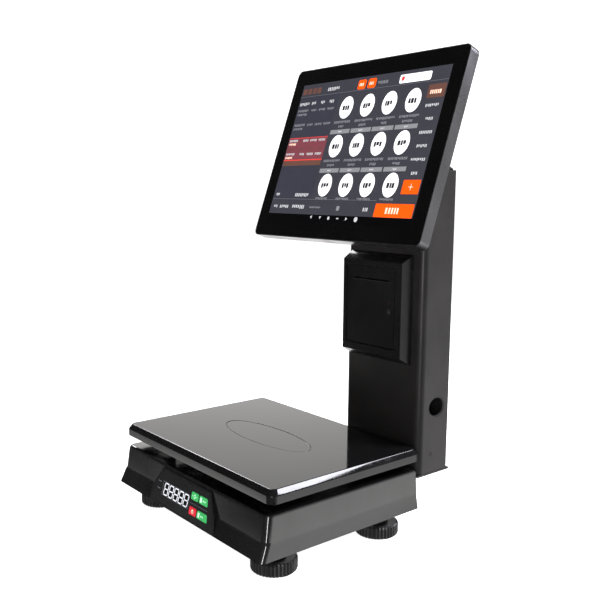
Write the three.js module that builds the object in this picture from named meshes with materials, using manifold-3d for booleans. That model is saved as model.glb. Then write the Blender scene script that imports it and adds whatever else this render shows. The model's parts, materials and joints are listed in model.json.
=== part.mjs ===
// Label printing scale: weighing base with platter, column, touch screen and label printer.
// Millimetres. +Z is up, the operator's side faces -Y, and +X is the operator's right.
// Heights are measured from the surface that the feet stand on.
import * as THREE from "three";
import { mergeVertices } from "three/addons/utils/BufferGeometryUtils.js";
import Module from "manifold-3d";

const wasm = await Module();
wasm.setup();

// ---------------------------------------------------------------- driving dimensions

// Gaps and clearances
const REST_GAP = 0.3; // between pieces that touch
const RUN_GAP = 0.4; // round a piece that turns or slides
const FIT_GAP = 0.5; // round a piece that drops into an opening

// Base housing
const BASE_TOP = 85.5;
const BASE_BOTTOM = 32;
const BASE_WIDTH = 336; // upper tier
const BASE_FRONT = -127; // upper tier
const BASE_BACK = 125;
const BASE_CORNER = 9; // front corners of the upper tier
const SKIRT_CORNER = 8; // front corners below the ledge
const BASE_CORNER_BACK = 3;
const BASE_ROUND = 4; // top edge
const BASE_DRAFT = 1.2; // of the upper tier's sides and back, down to the ledge
const BASE_LEAN = 4.2; // the same of its front
const BASE_WALL = 2.8;
const LEDGE_HEIGHT = 53.5;
const LEDGE_FRONT = 1.3; // how far the skirt stands out at the ledge, in front
const LEDGE_SIDE = 1.5; // the same at the side's front end; it fades to nothing at the back
const SKIRT_FLARE_FRONT = 7.5;
const SKIRT_FLARE_SIDE = 1.8;
const BOTTOM_PLATE_THICK = 2.5;
const BOTTOM_PLATE_SINK = 2;

// Platter
const PLATTER_RISE = 30; // its top above the base's top
const PLATTER_OVERHANG = 5; // past each side of the base's upper tier
const PLATTER_SETBACK = 1; // behind the base's front
const PLATTER_GAP = 1; // to the column
const PLATTER_HEIGHT = 16.8;
const PLATTER_BEVEL = 4.6;
const PLATTER_BEVEL_DROP = 6.6;
const PLATTER_CORNER = 10;
const PLATTER_WALL = 2.5;
const DISH_WIDTH = 176;
const DISH_DEPTH = 62;
const DISH_SINK = 0.9;

// Display panel on the front of the base
const PANEL_X = -3.5;
const PANEL_TOP_HALF = 58.5;
const PANEL_LEDGE_HALF = 74.5;
const PANEL_FOOT_HALF = 79.5;
const PANEL_DROP = 5; // its upper edge below the base's top
const PANEL_STAND = 2.6; // how far its upper edge stands out of the upper tier
const PANEL_BODY = 14;
const PANEL_FRAME = 2.2; // rim round the overlay
const PANEL_SIDE = 2.4; // side wall
const PANEL_WALL = 2.2;
const OVERLAY_THICK = 1.2;
const DIGITS_WIDTH = 66;
const DIGITS_DEPTH = 6.2;
const DIGITS_X = -17.5; // centre, from the panel's centre
const DIGITS_ABOVE = 14.3; // above the panel's lower edge, up its slope
const DIGITS_BELOW = 16.3; // below the panel's upper edge
const KEY_EDGE = 10.4; // from the rows of keys to the panel's upper and lower edges
const KEY_SPACE = 9.5; // between the two rows
const KEY_PROUD = 0.5;
const KEY_TRAVEL = 0.6;
const KEY_ROUND = 1.6;
const KEY_SQUARE = { left: 19.2, right: 34.8 }; // from the panel's centre
const KEY_WIDE = { left: 37.6, right: 60.2 }; // right is its lower corner in the lower row
const KEY_SLANT = 0.195; // how far a wide key's right end leans in, for each unit up
const KEY_FLANGE_EDGE = 0.9;
const KEY_FLANGE_THICK = 1.2;
const SWITCH_HALF = 3;
const BOARD_THICK = 1.6;
const BOARD_MARGIN = 8.5;

// Weighing cell under the platter
const CELL_LENGTH = 130;
const CELL_WIDTH = 30;
const CELL_HEIGHT = 22;
const CELL_RISER = 8;
const CELL_END = 32; // clamped length at each end
const CELL_BORE = 7;
const SPIDER_THICK = 4;
const SPIDER_ARM = 26;
const SPIDER_IN_X = 48; // pads' centres in from the platter's sides
const SPIDER_IN_Y = 44; // and from its front and back
const PAD_RADIUS = 9;
const SCALE_BOARD = { width: 90, depth: 60, fromStud: 23 };

// Levelling feet
const FOOT_FRONT_IN = { x: 34, y: 36 }; // centres in from the base's upper tier
const FOOT_BACK_IN = { x: 30, y: 44 };
const WHEEL_RADIUS = 29.2;
const WHEEL_HEIGHT = 16.5;
const WHEEL_RIDGES = 38;
const WHEEL_RIDGE_DEPTH = 1.4;
const WHEEL_BEVEL = 2;
const WHEEL_HUB_RADIUS = 15;
const WHEEL_HUB_HEIGHT = 4;
const STUD_RADIUS = 5;
const STUD_ABOVE = 15; // above the base's bottom plate
const STUD_SEAT = 8; // how high in the wheel the stud starts

// Column
const COLUMN_GAP = 2; // behind the base's upper tier
const COLUMN_WIDTH = 145;
const COLUMN_DEPTH = 58;
const COLUMN_SINK = 10; // its foot below the base's top
const COLUMN_TOP = 483.5;
const COLUMN_CORNER = 11;
const COLUMN_WALL = 2;
const CABLE_HOLE_DEPTH = 32.5;
const CABLE_HOLE_HEIGHT = 28;
const CABLE_HOLE_BACK = 34; // centre, from the column's front
const CABLE_HOLE_UP = 90; // centre, from the column's foot
const SIDE_SCREW_BACK = 25;
const SIDE_SCREW_UP = 25.5;
const SIDE_SCREW_RADIUS = 2.2;
const SIDE_SCREW_LENGTH = 6;
const FOOT_PLATE_THICK = 3.2;
const FOOT_PLATE_BEHIND = 6;
const TONGUE_HALF = 45;
const TONGUE_IN = 55; // how far the foot plate runs into the base
const BRACKET_THICK = 3;
const BRACKET_FLANGE = 12;
const BACK_COVER_THICK = 2;
const BACK_SCREW_RADIUS = 3;
const BACK_SCREW_HEAD = 1.6;
const BACK_SCREW_LENGTH = 7;
const COVER_SCREW_IN = 9;
const COVER_SCREW_UP = 20;
const VENT_COUNT = 7;
const VENT_PITCH = 9;
const VENT_HALF = 38;
const VENT_OPEN = 3;
const VENT_UP = 75; // above the column's foot
const POWER_SUPPLY = { half: 35, depth: 34, up: 20, under: 27 }; // under: below the label bay

// Screen
const SCREEN_TILT = THREE.MathUtils.degToRad(19.35);
const SCREEN_WIDTH = 351;
const SCREEN_HEIGHT = 278.5;
const SCREEN_DEPTH = 18.5;
const SCREEN_CORNER = 9;
const SCREEN_WALL = 4;
const SCREEN_LIP = 1.6;
const GLASS_THICK = 2;
const LCD_SIDE = 23.5; // picture in from the screen's sides
const LCD_RAISE = 22; // picture above the glass's lower edge
const LCD_BELOW = 25.3; // picture below the glass's upper edge
const LCD_BORDER = 8;
const LCD_THICK = 7;
const SCREEN_BACK_THICK = 2.2;
const COMPUTER_BOARD = { half: 100, low: 0, high: 120 };
const SCREEN_VENT = { low: 60, high: 110 }; // above the hinge pin, along the slope

// Screen hinge
const HINGE_IN = 17; // pin's centre in front of the column's back
const HINGE_DROP = 7.5; // pin's centre below the column's top
const HINGE_OFFSET = 8.8; // pin's centre behind the screen's back
const HINGE_BELOW = 104.3; // glass's lower edge below the pin, along the slope
const HINGE_PIN_RADIUS = 3.5;
const EAR_RADIUS = 7.5;
const EAR_THICK = 3;
const EAR_SPACE = 1; // between the screen's ears and the column's
const EAR_HALF = 32; // inner face of the screen's ears from the column's centre
const HINGE_PLATE = 2.5;
const HINGE_PLATE_LOW = 34; // below the pin
const HINGE_PLATE_HIGH = 1.5; // above the pin
const BRACKET_DROP = 58;
const SCREEN_BRACKET_THICK = 2;
const SLANT_GAP = 0.6; // between the column's slanted edge and the screen's back
const SLANT_STOP = -12; // the slant ends this far below the pin, along the slope
const SLANT_COVER_THICK = 1.5;
const SLANT_COVER_SINK = 5; // behind the screen's back
const CAP_RISE = 5.6; // the top cap's ridge above the column
const CAP_THICK = 1.8;
const CAP_LIP = 4;

// Label printer, placed from the column's sides, front and top
const HOOD_DEPTH = 19.5; // in front of the column
const HOOD_LEFT = 13.5; // in from the column's left side
const HOOD_RIGHT = 20.7;
const HOOD_DROP = 122; // its face's upper edge below the column's top
const HOOD_HEIGHT = 127;
const HOOD_FLARE = 2.7;
const HOOD_FLARE_UP = 10.8;
const HOOD_WALL = 2;
const HOOD_SIDE = { left: 6, right: 13, bottom: 10, top: 7 }; // hood's face round the bay
const BAY_BEHIND = 7; // bay's back in front of the column's back
const RECESS_EDGE = 6.3; // recess short of the hood's right edge
const RECESS_DEPTH = 1.5;
const DOOR_THICK = 3;
const DOOR_GAP = 0.8;
const DOOR_AXIS_IN = 1.7; // hinge axis from the door's hinged edge
const DOOR_PIN_RADIUS = 0.9;
const DOOR_PIN_REACH = 3.2; // into the housing, past each end of the door
const SLOT = { left: 12.5, right: 10.3, drop: 18.2, open: 2 }; // in from the bay's sides and top
const LOCK_IN = 9.1; // in from the bay's right side
const LOCK_UP = 51; // above the bay's floor
const LOCK_RADIUS = 4;
const LOCK_PROUD = 0.8;
const KEYWAY = { wide: 1.2, high: 4.8, deep: 2 };
const CAM_LENGTH = 15;
const CAM_WIDTH = 7;
const CAM_THICK = 2;
const CAM_BEHIND = 1.5; // behind the door
const LIGHT_ABOVE = 10.8; // above the lock
const LIGHT_RADIUS = 1.3;
const LIGHT_SINK = 0.2;

// Label mechanism
const PLATEN_BEHIND = 28; // platen's centre behind the door
const PLATEN_DROP = 21.5; // and below the bay's roof
const PLATEN_RADIUS = 6;
const PLATEN_SHAFT_RADIUS = 2;
const GEAR_MODULE = 0.8;
const PLATEN_TEETH = 20;
const PINION_TEETH = 10;
const GEAR_THICK = 4;
const GEAR_BACKLASH = 0.35;
const PINION_SHAFT_RADIUS = 1.2;
const MOTOR_RADIUS = 12;
const MOTOR_LENGTH = 16;
const MOTOR_BEARING_DEPTH = 4;
const MOTOR_FLANGE_HALF = 20;
const MOTOR_FLANGE_THICK = 1.5;
const MOTOR_POST = 16; // posts above and below the motor's shaft
const MOTOR_POST_RADIUS = 2.5;
const SIDE_SPACE = 1; // between the bay's wall, the gears and the motor
const CHASSIS_THICK = 2;
const CHASSIS_IN = { left: 8, right: 4, top: 2 };
const CHASSIS_FRONT = 16; // in front of the platen's centre
const CHASSIS_BACK = 22;
const CHASSIS_BELOW = 9;
const HEAD_THICK = 6;
const ROLL_SPACE = 3; // between the roll and the door or the bay's back
const ROLL_CORE = 6.5;
const ROLL_IN = { left: 14.5, right: 17.3 }; // in from the bay's sides
const ROLL_UP = 37.5; // its centre above the bay's floor
const SPINDLE_RADIUS = 5.5;

// Places that follow from these sizes
const PLATTER_TOP = BASE_TOP + PLATTER_RISE;
const COLUMN_FRONT = BASE_BACK + COLUMN_GAP;
const COLUMN_BACK = COLUMN_FRONT + COLUMN_DEPTH;
const COLUMN_RIGHT = BASE_WIDTH / 2;
const COLUMN_LEFT = COLUMN_RIGHT - COLUMN_WIDTH;
const COLUMN_MIDDLE = COLUMN_RIGHT - COLUMN_WIDTH / 2;
const COLUMN_BOTTOM = BASE_TOP - COLUMN_SINK;

// ---------------------------------------------------------------- finishes

const finish = (color, roughness, metalness = 0) =>
  new THREE.MeshStandardMaterial({ color, roughness, metalness });

const GLOSS_BLACK = finish(0x141414, 0.12);
const SATIN_BLACK = finish(0x1a1a1b, 0.45);
const COLUMN_PAINT = finish(0x3c3838, 0.38, 0.5);
const FRAME_GREY = finish(0x5d5d61, 0.35, 0.7);
const STEEL = finish(0x9a9c9e, 0.35, 1);
const ALUMINIUM = finish(0xb6b8ba, 0.4, 1);
const RUBBER = finish(0x202020, 0.85);
const FOOT_BLACK = finish(0x161616, 0.6);
const OVERLAY = finish(0x232327, 0.15);
const DIGITS = finish(0x0c0c0d, 0.2);
const KEY_GREEN = finish(0x4fbf6e, 0.45);
const KEY_RED = finish(0xd9263a, 0.45);
const CIRCUIT = finish(0x1e5a34, 0.5);
const GLASS = finish(0x050506, 0.05);
const PAPER = finish(0xf2f0ea, 0.8);
const NYLON = finish(0xe6e4dc, 0.5);

// ---------------------------------------------------------------- solids

const TURN = 2 * Math.PI;
const X_AXIS = new THREE.Vector3(1, 0, 0);

function solid(geometry) {
  const bare = geometry.clone();
  bare.deleteAttribute("normal");
  bare.deleteAttribute("uv");
  bare.clearGroups();
  const merged = mergeVertices(bare, 1e-4);
  return new wasm.Manifold(
    new wasm.Mesh({
      numProp: 3,
      vertProperties: merged.attributes.position.array,
      triVerts: new Uint32Array(merged.index.array),
    }),
  );
}

function join(...solids) {
  return solids.reduce((whole, next) => whole.add(next));
}

function cut(body, ...tools) {
  return tools.reduce((left, tool) => left.subtract(tool), body);
}

// A box between two values on each axis.
function block([x0, x1], [y0, y1], [z0, z1]) {
  const geometry = new THREE.BoxGeometry(x1 - x0, y1 - y0, z1 - z0);
  geometry.translate((x0 + x1) / 2, (y0 + y1) / 2, (z0 + z1) / 2);
  return solid(geometry);
}

// A cylinder that runs from one point along an axis.
function rod(radius, from, along, segments = 24) {
  const length = along.length();
  const geometry = new THREE.CylinderGeometry(radius, radius, length, segments);
  geometry.translate(0, length / 2, 0);
  const turn = new THREE.Quaternion().setFromUnitVectors(
    new THREE.Vector3(0, 1, 0),
    along.clone().normalize(),
  );
  geometry.applyQuaternion(turn);
  geometry.translate(from.x, from.y, from.z);
  return solid(geometry);
}

const at = (x, y, z) => new THREE.Vector3(x, y, z);
const alongX = (length) => at(length, 0, 0);
const alongY = (length) => at(0, length, 0);
const alongZ = (length) => at(0, 0, length);

function outline(points) {
  return new THREE.Shape(points.map(([x, y]) => new THREE.Vector2(x, y)));
}

function roundedRectangle(x0, x1, y0, y1, radius) {
  const shape = new THREE.Shape();
  shape.absarc(x1 - radius, y0 + radius, radius, -TURN / 4, 0);
  shape.absarc(x1 - radius, y1 - radius, radius, 0, TURN / 4);
  shape.absarc(x0 + radius, y1 - radius, radius, TURN / 4, TURN / 2);
  shape.absarc(x0 + radius, y0 + radius, radius, TURN / 2, (3 * TURN) / 4);
  return shape;
}

// An outline through corners, each rounded off by the same length along its two edges.
function roundedOutline(corners, radius) {
  const points = corners.map(([x, y]) => new THREE.Vector2(x, y));
  const shape = new THREE.Shape();
  points.forEach((corner, i) => {
    const before = points[(i + points.length - 1) % points.length];
    const after = points[(i + 1) % points.length];
    const enter = before.clone().sub(corner).setLength(radius).add(corner);
    const leave = after.clone().sub(corner).setLength(radius).add(corner);
    if (i === 0) shape.moveTo(enter.x, enter.y);
    else shape.lineTo(enter.x, enter.y);
    shape.quadraticCurveTo(corner.x, corner.y, leave.x, leave.y);
  });
  return shape;
}

function extrude(shape, depth, curveSegments) {
  return new THREE.ExtrudeGeometry(shape, { depth, bevelEnabled: false, curveSegments });
}

// A plan outline (X, Y) raised between two heights.
function standing(shape, [z0, z1], curveSegments = 5) {
  const geometry = extrude(shape, z1 - z0, curveSegments);
  geometry.translate(0, 0, z0);
  return solid(geometry);
}

// A side outline (Y, Z) drawn across X.
function crosswise(shape, [x0, x1], curveSegments = 8) {
  const geometry = extrude(shape, x1 - x0, curveSegments);
  const basis = new THREE.Matrix4().makeBasis(at(0, 1, 0), at(0, 0, 1), at(1, 0, 0));
  geometry.applyMatrix4(basis);
  geometry.translate(x0, 0, 0);
  return solid(geometry);
}

// A front outline (X, Z) drawn back from y0 to y1.
function frontwise(shape, [y0, y1], curveSegments = 5) {
  const geometry = extrude(shape, y1 - y0, curveSegments);
  const basis = new THREE.Matrix4().makeBasis(at(1, 0, 0), at(0, 0, 1), at(0, -1, 0));
  geometry.applyMatrix4(basis);
  geometry.translate(0, y1, 0);
  return solid(geometry);
}

// Points round a rectangle with rounded corners, whose front may be wider than its back.
function ring({ front, back, halfFront, halfBack, cornerFront, cornerBack }, height, steps = 4) {
  const corners = [
    [halfFront - cornerFront, front + cornerFront, -TURN / 4, cornerFront],
    [halfBack - cornerBack, back - cornerBack, 0, cornerBack],
    [cornerBack - halfBack, back - cornerBack, TURN / 4, cornerBack],
    [cornerFront - halfFront, front + cornerFront, TURN / 2, cornerFront],
  ];
  return corners.flatMap(([x, y, start, radius]) =>
    Array.from({ length: steps + 1 }, (_, i) => {
      const angle = start + (TURN / 4) * (i / steps);
      return at(x + radius * Math.cos(angle), y + radius * Math.sin(angle), height);
    }),
  );
}

// A closed skin through rings of points, each ring one level above the last.
function loft(rings) {
  const count = rings[0].length;
  const positions = rings.flat().flatMap((p) => [p.x, p.y, p.z]);
  const faces = [];
  for (let level = 0; level + 1 < rings.length; level++) {
    for (let i = 0; i < count; i++) {
      const a = level * count + i;
      const b = level * count + ((i + 1) % count);
      faces.push(a, b, b + count, a, b + count, a + count);
    }
  }
  const last = (rings.length - 1) * count;
  for (let i = 1; i + 1 < count; i++) {
    faces.push(0, i + 1, i);
    faces.push(last, last + i, last + i + 1);
  }
  const geometry = new THREE.BufferGeometry();
  geometry.setAttribute("position", new THREE.Float32BufferAttribute(positions, 3));
  geometry.setIndex(faces);
  return solid(geometry);
}

function moved(body, matrix) {
  return body.transform(matrix.elements);
}

// ---------------------------------------------------------------- assembly tree

const scale = new THREE.Group();

function add(name, body, material, parent = scale) {
  const source = body.getMesh();
  const geometry = new THREE.BufferGeometry();
  geometry.setAttribute("position", new THREE.BufferAttribute(source.vertProperties, 3));
  geometry.setIndex(new THREE.BufferAttribute(source.triVerts, 1));
  const faceted = geometry.toNonIndexed();
  faceted.computeVertexNormals();
  const mesh = new THREE.Mesh(faceted, material);
  mesh.name = name;
  parent.add(mesh);
}

// ---------------------------------------------------------------- base housing

// The upper tier's outline at a height, drawn in by a wall.
function tierRing(height, inset = 0, out = {}) {
  const share = (BASE_TOP - height) / (BASE_TOP - LEDGE_HEIGHT);
  const draft = BASE_DRAFT * share;
  const half = BASE_WIDTH / 2 + draft - inset;
  const { front = 0, side = 0, sideBack = 0, corner = BASE_CORNER } = out;
  return {
    front: BASE_FRONT - BASE_LEAN * share - front + inset,
    back: BASE_BACK + draft - inset,
    halfFront: half + side,
    halfBack: half + sideBack,
    cornerFront: corner - inset / 2,
    cornerBack: BASE_CORNER_BACK - inset / 2,
  };
}

function ledgeRing(inset) {
  return tierRing(LEDGE_HEIGHT, inset, {
    front: LEDGE_FRONT,
    side: LEDGE_SIDE,
    corner: SKIRT_CORNER,
  });
}

function skirtRing(inset) {
  return tierRing(LEDGE_HEIGHT, inset, {
    front: LEDGE_FRONT + SKIRT_FLARE_FRONT,
    side: LEDGE_SIDE + SKIRT_FLARE_SIDE,
    sideBack: LEDGE_SIDE + SKIRT_FLARE_SIDE,
    corner: SKIRT_CORNER,
  });
}

const SPILL = 1; // how far a cutting body runs past what it cuts
const LEDGE_STEP = 3.5; // height over which the ledge turns in
const skinTop = BASE_TOP - BASE_WALL;

function baseSkin() {
  return loft([
    ring(skirtRing(0), BASE_BOTTOM),
    ring(ledgeRing(0), LEDGE_HEIGHT - LEDGE_STEP),
    ring(tierRing(LEDGE_HEIGHT), LEDGE_HEIGHT),
    ring(tierRing(BASE_TOP - BASE_ROUND), BASE_TOP - BASE_ROUND),
    ring(tierRing(BASE_TOP, BASE_ROUND * 0.3), BASE_TOP - BASE_ROUND * 0.3),
    ring(tierRing(BASE_TOP, BASE_ROUND), BASE_TOP),
  ]);
}

function baseHollow() {
  return loft([
    ring(skirtRing(BASE_WALL), BASE_BOTTOM - SPILL),
    ring(ledgeRing(BASE_WALL), LEDGE_HEIGHT - BASE_WALL),
    ring(tierRing(LEDGE_HEIGHT, BASE_WALL), LEDGE_HEIGHT),
    ring(tierRing(skinTop, BASE_WALL), skinTop),
  ]);
}

// The panel's own frame: x across, y up its slope, z out of its face, from its lower edge.
const panelTopY = BASE_FRONT - PANEL_STAND;
const panelTopZ = BASE_TOP - PANEL_DROP;
const panelFootY = skirtRing(0).front;
const panelSlope = new THREE.Vector3(0, panelTopY - panelFootY, panelTopZ - BASE_BOTTOM);
const panelLength = panelSlope.length();
const panelUp = panelSlope.clone().normalize();
const panelOut = new THREE.Vector3().crossVectors(X_AXIS, panelUp);
const onPanel = new THREE.Matrix4()
  .makeBasis(X_AXIS, panelUp, panelOut)
  .setPosition(PANEL_X, panelFootY, BASE_BOTTOM);
const panelLedge = (panelLength * (LEDGE_HEIGHT - BASE_BOTTOM)) / (panelTopZ - BASE_BOTTOM);

// The panel's face outline, drawn in by a margin.
function panelOutline(margin) {
  return outline([
    [-PANEL_FOOT_HALF + margin, margin],
    [PANEL_FOOT_HALF - margin, margin],
    [PANEL_LEDGE_HALF - margin, panelLedge],
    [PANEL_TOP_HALF - margin, panelLength - margin],
    [-PANEL_TOP_HALF + margin, panelLength - margin],
    [-PANEL_LEDGE_HALF + margin, panelLedge],
  ]);
}

function panelBody(shape, [low, high]) {
  return moved(standing(shape, [low, high], 3), onPanel);
}

function belowBase() {
  const reach = PANEL_FOOT_HALF + Math.abs(PANEL_X) + SPILL;
  return block([-reach, reach], [panelFootY - SPILL, 0], [0, BASE_BOTTOM]);
}

const overlayFloor = -OVERLAY_THICK - REST_GAP;
const panelBack = overlayFloor - PANEL_WALL;

function digitsOutline(margin) {
  const left = DIGITS_X - DIGITS_WIDTH / 2 - margin;
  const right = DIGITS_X + DIGITS_WIDTH / 2 + margin;
  const low = DIGITS_ABOVE - margin;
  const high = panelLength - DIGITS_BELOW + margin;
  return outline([
    [left, low],
    [right, low],
    [right, high],
    [left, high],
  ]);
}

const keyHeight = (panelLength - 2 * KEY_EDGE - KEY_SPACE) / 2;
const lowerRow = KEY_EDGE;
const upperRow = KEY_EDGE + keyHeight + KEY_SPACE;
const keys = [
  { name: "key_zero", ...KEY_SQUARE, low: upperRow, slant: 0, material: KEY_GREEN },
  { name: "key_tare", ...KEY_WIDE, low: upperRow, slant: KEY_SLANT, material: KEY_GREEN },
  { name: "key_power", ...KEY_SQUARE, low: lowerRow, slant: 0, material: KEY_RED },
  { name: "key_total", ...KEY_WIDE, low: lowerRow, slant: KEY_SLANT, material: KEY_GREEN },
];

// The right end of a wide key follows one straight line through both rows.
function keyRight(key, up) {
  return key.right - key.slant * (up - lowerRow);
}

function keyOutline(key, margin) {
  const low = key.low - margin;
  const high = key.low + keyHeight + margin;
  return roundedOutline(
    [
      [key.left - margin, low],
      [keyRight(key, low) + margin, low],
      [keyRight(key, high) + margin, high],
      [key.left - margin, high],
    ],
    Math.min(KEY_ROUND, keyHeight / 3) + margin,
  );
}

const cellEndX = CELL_LENGTH / 2 - CELL_END;
const postRoom = 2 * RUN_GAP;
const postWindow = [cellEndX - postRoom, CELL_LENGTH / 2 + postRoom];
const platterFront = BASE_FRONT + PLATTER_SETBACK;
const platterBack = COLUMN_FRONT - PLATTER_GAP;
const platterMiddle = (platterFront + platterBack) / 2;
const cellSides = [platterMiddle - CELL_WIDTH / 2, platterMiddle + CELL_WIDTH / 2];
const footPlateTop = COLUMN_BOTTOM - REST_GAP;
const footPlate = [footPlateTop - FOOT_PLATE_THICK, footPlateTop];
const tongue = [COLUMN_MIDDLE - TONGUE_HALF, COLUMN_MIDDLE + TONGUE_HALF];

function baseHousing() {
  const shell = cut(
    join(baseSkin(), cut(panelBody(panelOutline(0), [-PANEL_BODY, 0]), belowBase())),
    baseHollow(),
    panelBody(panelOutline(PANEL_SIDE), [-PANEL_BODY * 2, panelBack]),
    panelBody(panelOutline(PANEL_FRAME), [overlayFloor, SPILL]),
    panelBody(digitsOutline(FIT_GAP), [panelBack - SPILL, SPILL]),
    ...keys.map((key) => panelBody(keyOutline(key, FIT_GAP), [panelBack - SPILL, SPILL])),
  );
  const postHole = block(
    postWindow,
    [cellSides[0] - postRoom, cellSides[1] + postRoom],
    [skinTop - SPILL, BASE_TOP + SPILL],
  );
  const tongueSlot = block(
    [tongue[0] - FIT_GAP, tongue[1] + FIT_GAP],
    [BASE_BACK - BASE_WALL * 2, BASE_BACK + BASE_WALL * 2],
    [footPlate[0] - FIT_GAP, footPlate[1] + FIT_GAP],
  );
  return cut(shell, postHole, tongueSlot);
}

const plateLow = BASE_BOTTOM + BOTTOM_PLATE_SINK;
const plateHigh = plateLow + BOTTOM_PLATE_THICK;
const footFrontX = BASE_WIDTH / 2 - FOOT_FRONT_IN.x;
const footBackX = BASE_WIDTH / 2 - FOOT_BACK_IN.x;
const feet = [
  { name: "front_left", x: -footFrontX, y: BASE_FRONT + FOOT_FRONT_IN.y },
  { name: "front_right", x: footFrontX, y: BASE_FRONT + FOOT_FRONT_IN.y },
  { name: "back_left", x: -footBackX, y: BASE_BACK - FOOT_BACK_IN.y },
  { name: "back_right", x: footBackX, y: BASE_BACK - FOOT_BACK_IN.y },
];

// The flat plate follows the hollow's outline where the hollow is narrowest across the plate.
function bottomPlate() {
  const rise = (plateHigh - BASE_BOTTOM + SPILL) / (LEDGE_HEIGHT - BASE_WALL - BASE_BOTTOM + SPILL);
  const foot = skirtRing(BASE_WALL + FIT_GAP);
  const ledge = ledgeRing(BASE_WALL + FIT_GAP);
  const between = (name) => THREE.MathUtils.lerp(foot[name], ledge[name], rise);
  const outlineHere = {
    front: between("front"),
    back: between("back"),
    halfFront: between("halfFront"),
    halfBack: between("halfBack"),
    cornerFront: between("cornerFront"),
    cornerBack: between("cornerBack"),
  };
  const plate = loft([ring(outlineHere, plateLow), ring(outlineHere, plateHigh)]);
  const holes = feet.map(({ x, y }) =>
    rod(STUD_RADIUS + RUN_GAP, at(x, y, plateLow - SPILL), alongZ(BOTTOM_PLATE_THICK + 2 * SPILL), 16),
  );
  return cut(plate, ...holes);
}

add("base_housing", baseHousing(), GLOSS_BLACK);
add("base_bottom_plate", bottomPlate(), STEEL);

// ---------------------------------------------------------------- display panel

function displayOverlay() {
  return cut(
    panelBody(panelOutline(PANEL_FRAME + REST_GAP), [-OVERLAY_THICK, 0]),
    ...keys.map((key) => panelBody(keyOutline(key, RUN_GAP), [-OVERLAY_THICK - SPILL, SPILL])),
  );
}

const digitsFront = -OVERLAY_THICK - REST_GAP;
const boardFront = digitsFront - DIGITS_DEPTH - REST_GAP;
const keyFlange = [panelBack - RUN_GAP - KEY_FLANGE_THICK, panelBack - RUN_GAP];

function displayBoard() {
  const left = DIGITS_X - DIGITS_WIDTH / 2 - SPILL;
  const high = panelLength - BOARD_MARGIN;
  const board = panelBody(
    outline([
      [left, BOARD_MARGIN],
      [KEY_WIDE.right, BOARD_MARGIN],
      [keyRight(keys[1], high), high],
      [left, high],
    ]),
    [boardFront - BOARD_THICK, boardFront],
  );
  const switches = keys.map((key) => {
    const x = (key.left + keyRight(key, key.low)) / 2;
    const up = key.low + keyHeight / 2;
    return panelBody(
      outline([
        [x - SWITCH_HALF, up - SWITCH_HALF],
        [x + SWITCH_HALF, up - SWITCH_HALF],
        [x + SWITCH_HALF, up + SWITCH_HALF],
        [x - SWITCH_HALF, up + SWITCH_HALF],
      ]),
      [boardFront - BOARD_THICK / 2, keyFlange[0] - KEY_TRAVEL - REST_GAP],
    );
  });
  return join(board, ...switches);
}

function keyCap(key) {
  return join(
    panelBody(keyOutline(key, 0), [keyFlange[1] - REST_GAP, KEY_PROUD]),
    panelBody(keyOutline(key, KEY_FLANGE_EDGE), keyFlange),
  );
}

add("display_overlay", displayOverlay(), OVERLAY);
add(
  "digit_display",
  panelBody(digitsOutline(0), [digitsFront - DIGITS_DEPTH, digitsFront]),
  DIGITS,
);
add("display_board", displayBoard(), CIRCUIT);
keys.forEach((key) => add(key.name, keyCap(key), key.material));

// ---------------------------------------------------------------- weighing cell and platter

const cellLow = plateHigh + REST_GAP + CELL_RISER + REST_GAP;
const cellHigh = cellLow + CELL_HEIGHT;
const platterUnder = PLATTER_TOP - PLATTER_WALL;
const spiderLow = PLATTER_TOP - PLATTER_HEIGHT + REST_GAP;
const spiderHigh = spiderLow + SPIDER_THICK;
const [cellFront, cellRear] = cellSides;

// The beam is thinned by two bores joined by a slot.
function loadCell() {
  const middle = (cellLow + cellHigh) / 2;
  const boreX = CELL_BORE * 1.6;
  const bores = [-boreX, boreX].map((x) =>
    rod(CELL_BORE, at(x, cellFront - SPILL, middle), alongY(CELL_WIDTH + 2 * SPILL), 16),
  );
  const slot = block(
    [-boreX, boreX],
    [cellFront - SPILL, cellRear + SPILL],
    [middle - CELL_BORE / 2, middle + CELL_BORE / 2],
  );
  const beam = block([-CELL_LENGTH / 2, CELL_LENGTH / 2], cellSides, [cellLow, cellHigh]);
  return cut(beam, ...bores, slot);
}

const spiderX = BASE_WIDTH / 2 + PLATTER_OVERHANG - SPIDER_IN_X;
const spiderY = [platterFront + SPIDER_IN_Y, platterBack - SPIDER_IN_Y];

function platterSpider() {
  const armHalf = SPIDER_ARM / 2;
  const middleArm = block(
    [-spiderX - armHalf, spiderX + armHalf],
    [platterMiddle - armHalf, platterMiddle + armHalf],
    [spiderLow, spiderHigh],
  );
  const endArms = [-spiderX, spiderX].map((x) =>
    block(
      [x - armHalf, x + armHalf],
      [spiderY[0] - armHalf, spiderY[1] + armHalf],
      [spiderLow, spiderHigh],
    ),
  );
  return join(middleArm, ...endArms);
}

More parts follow.
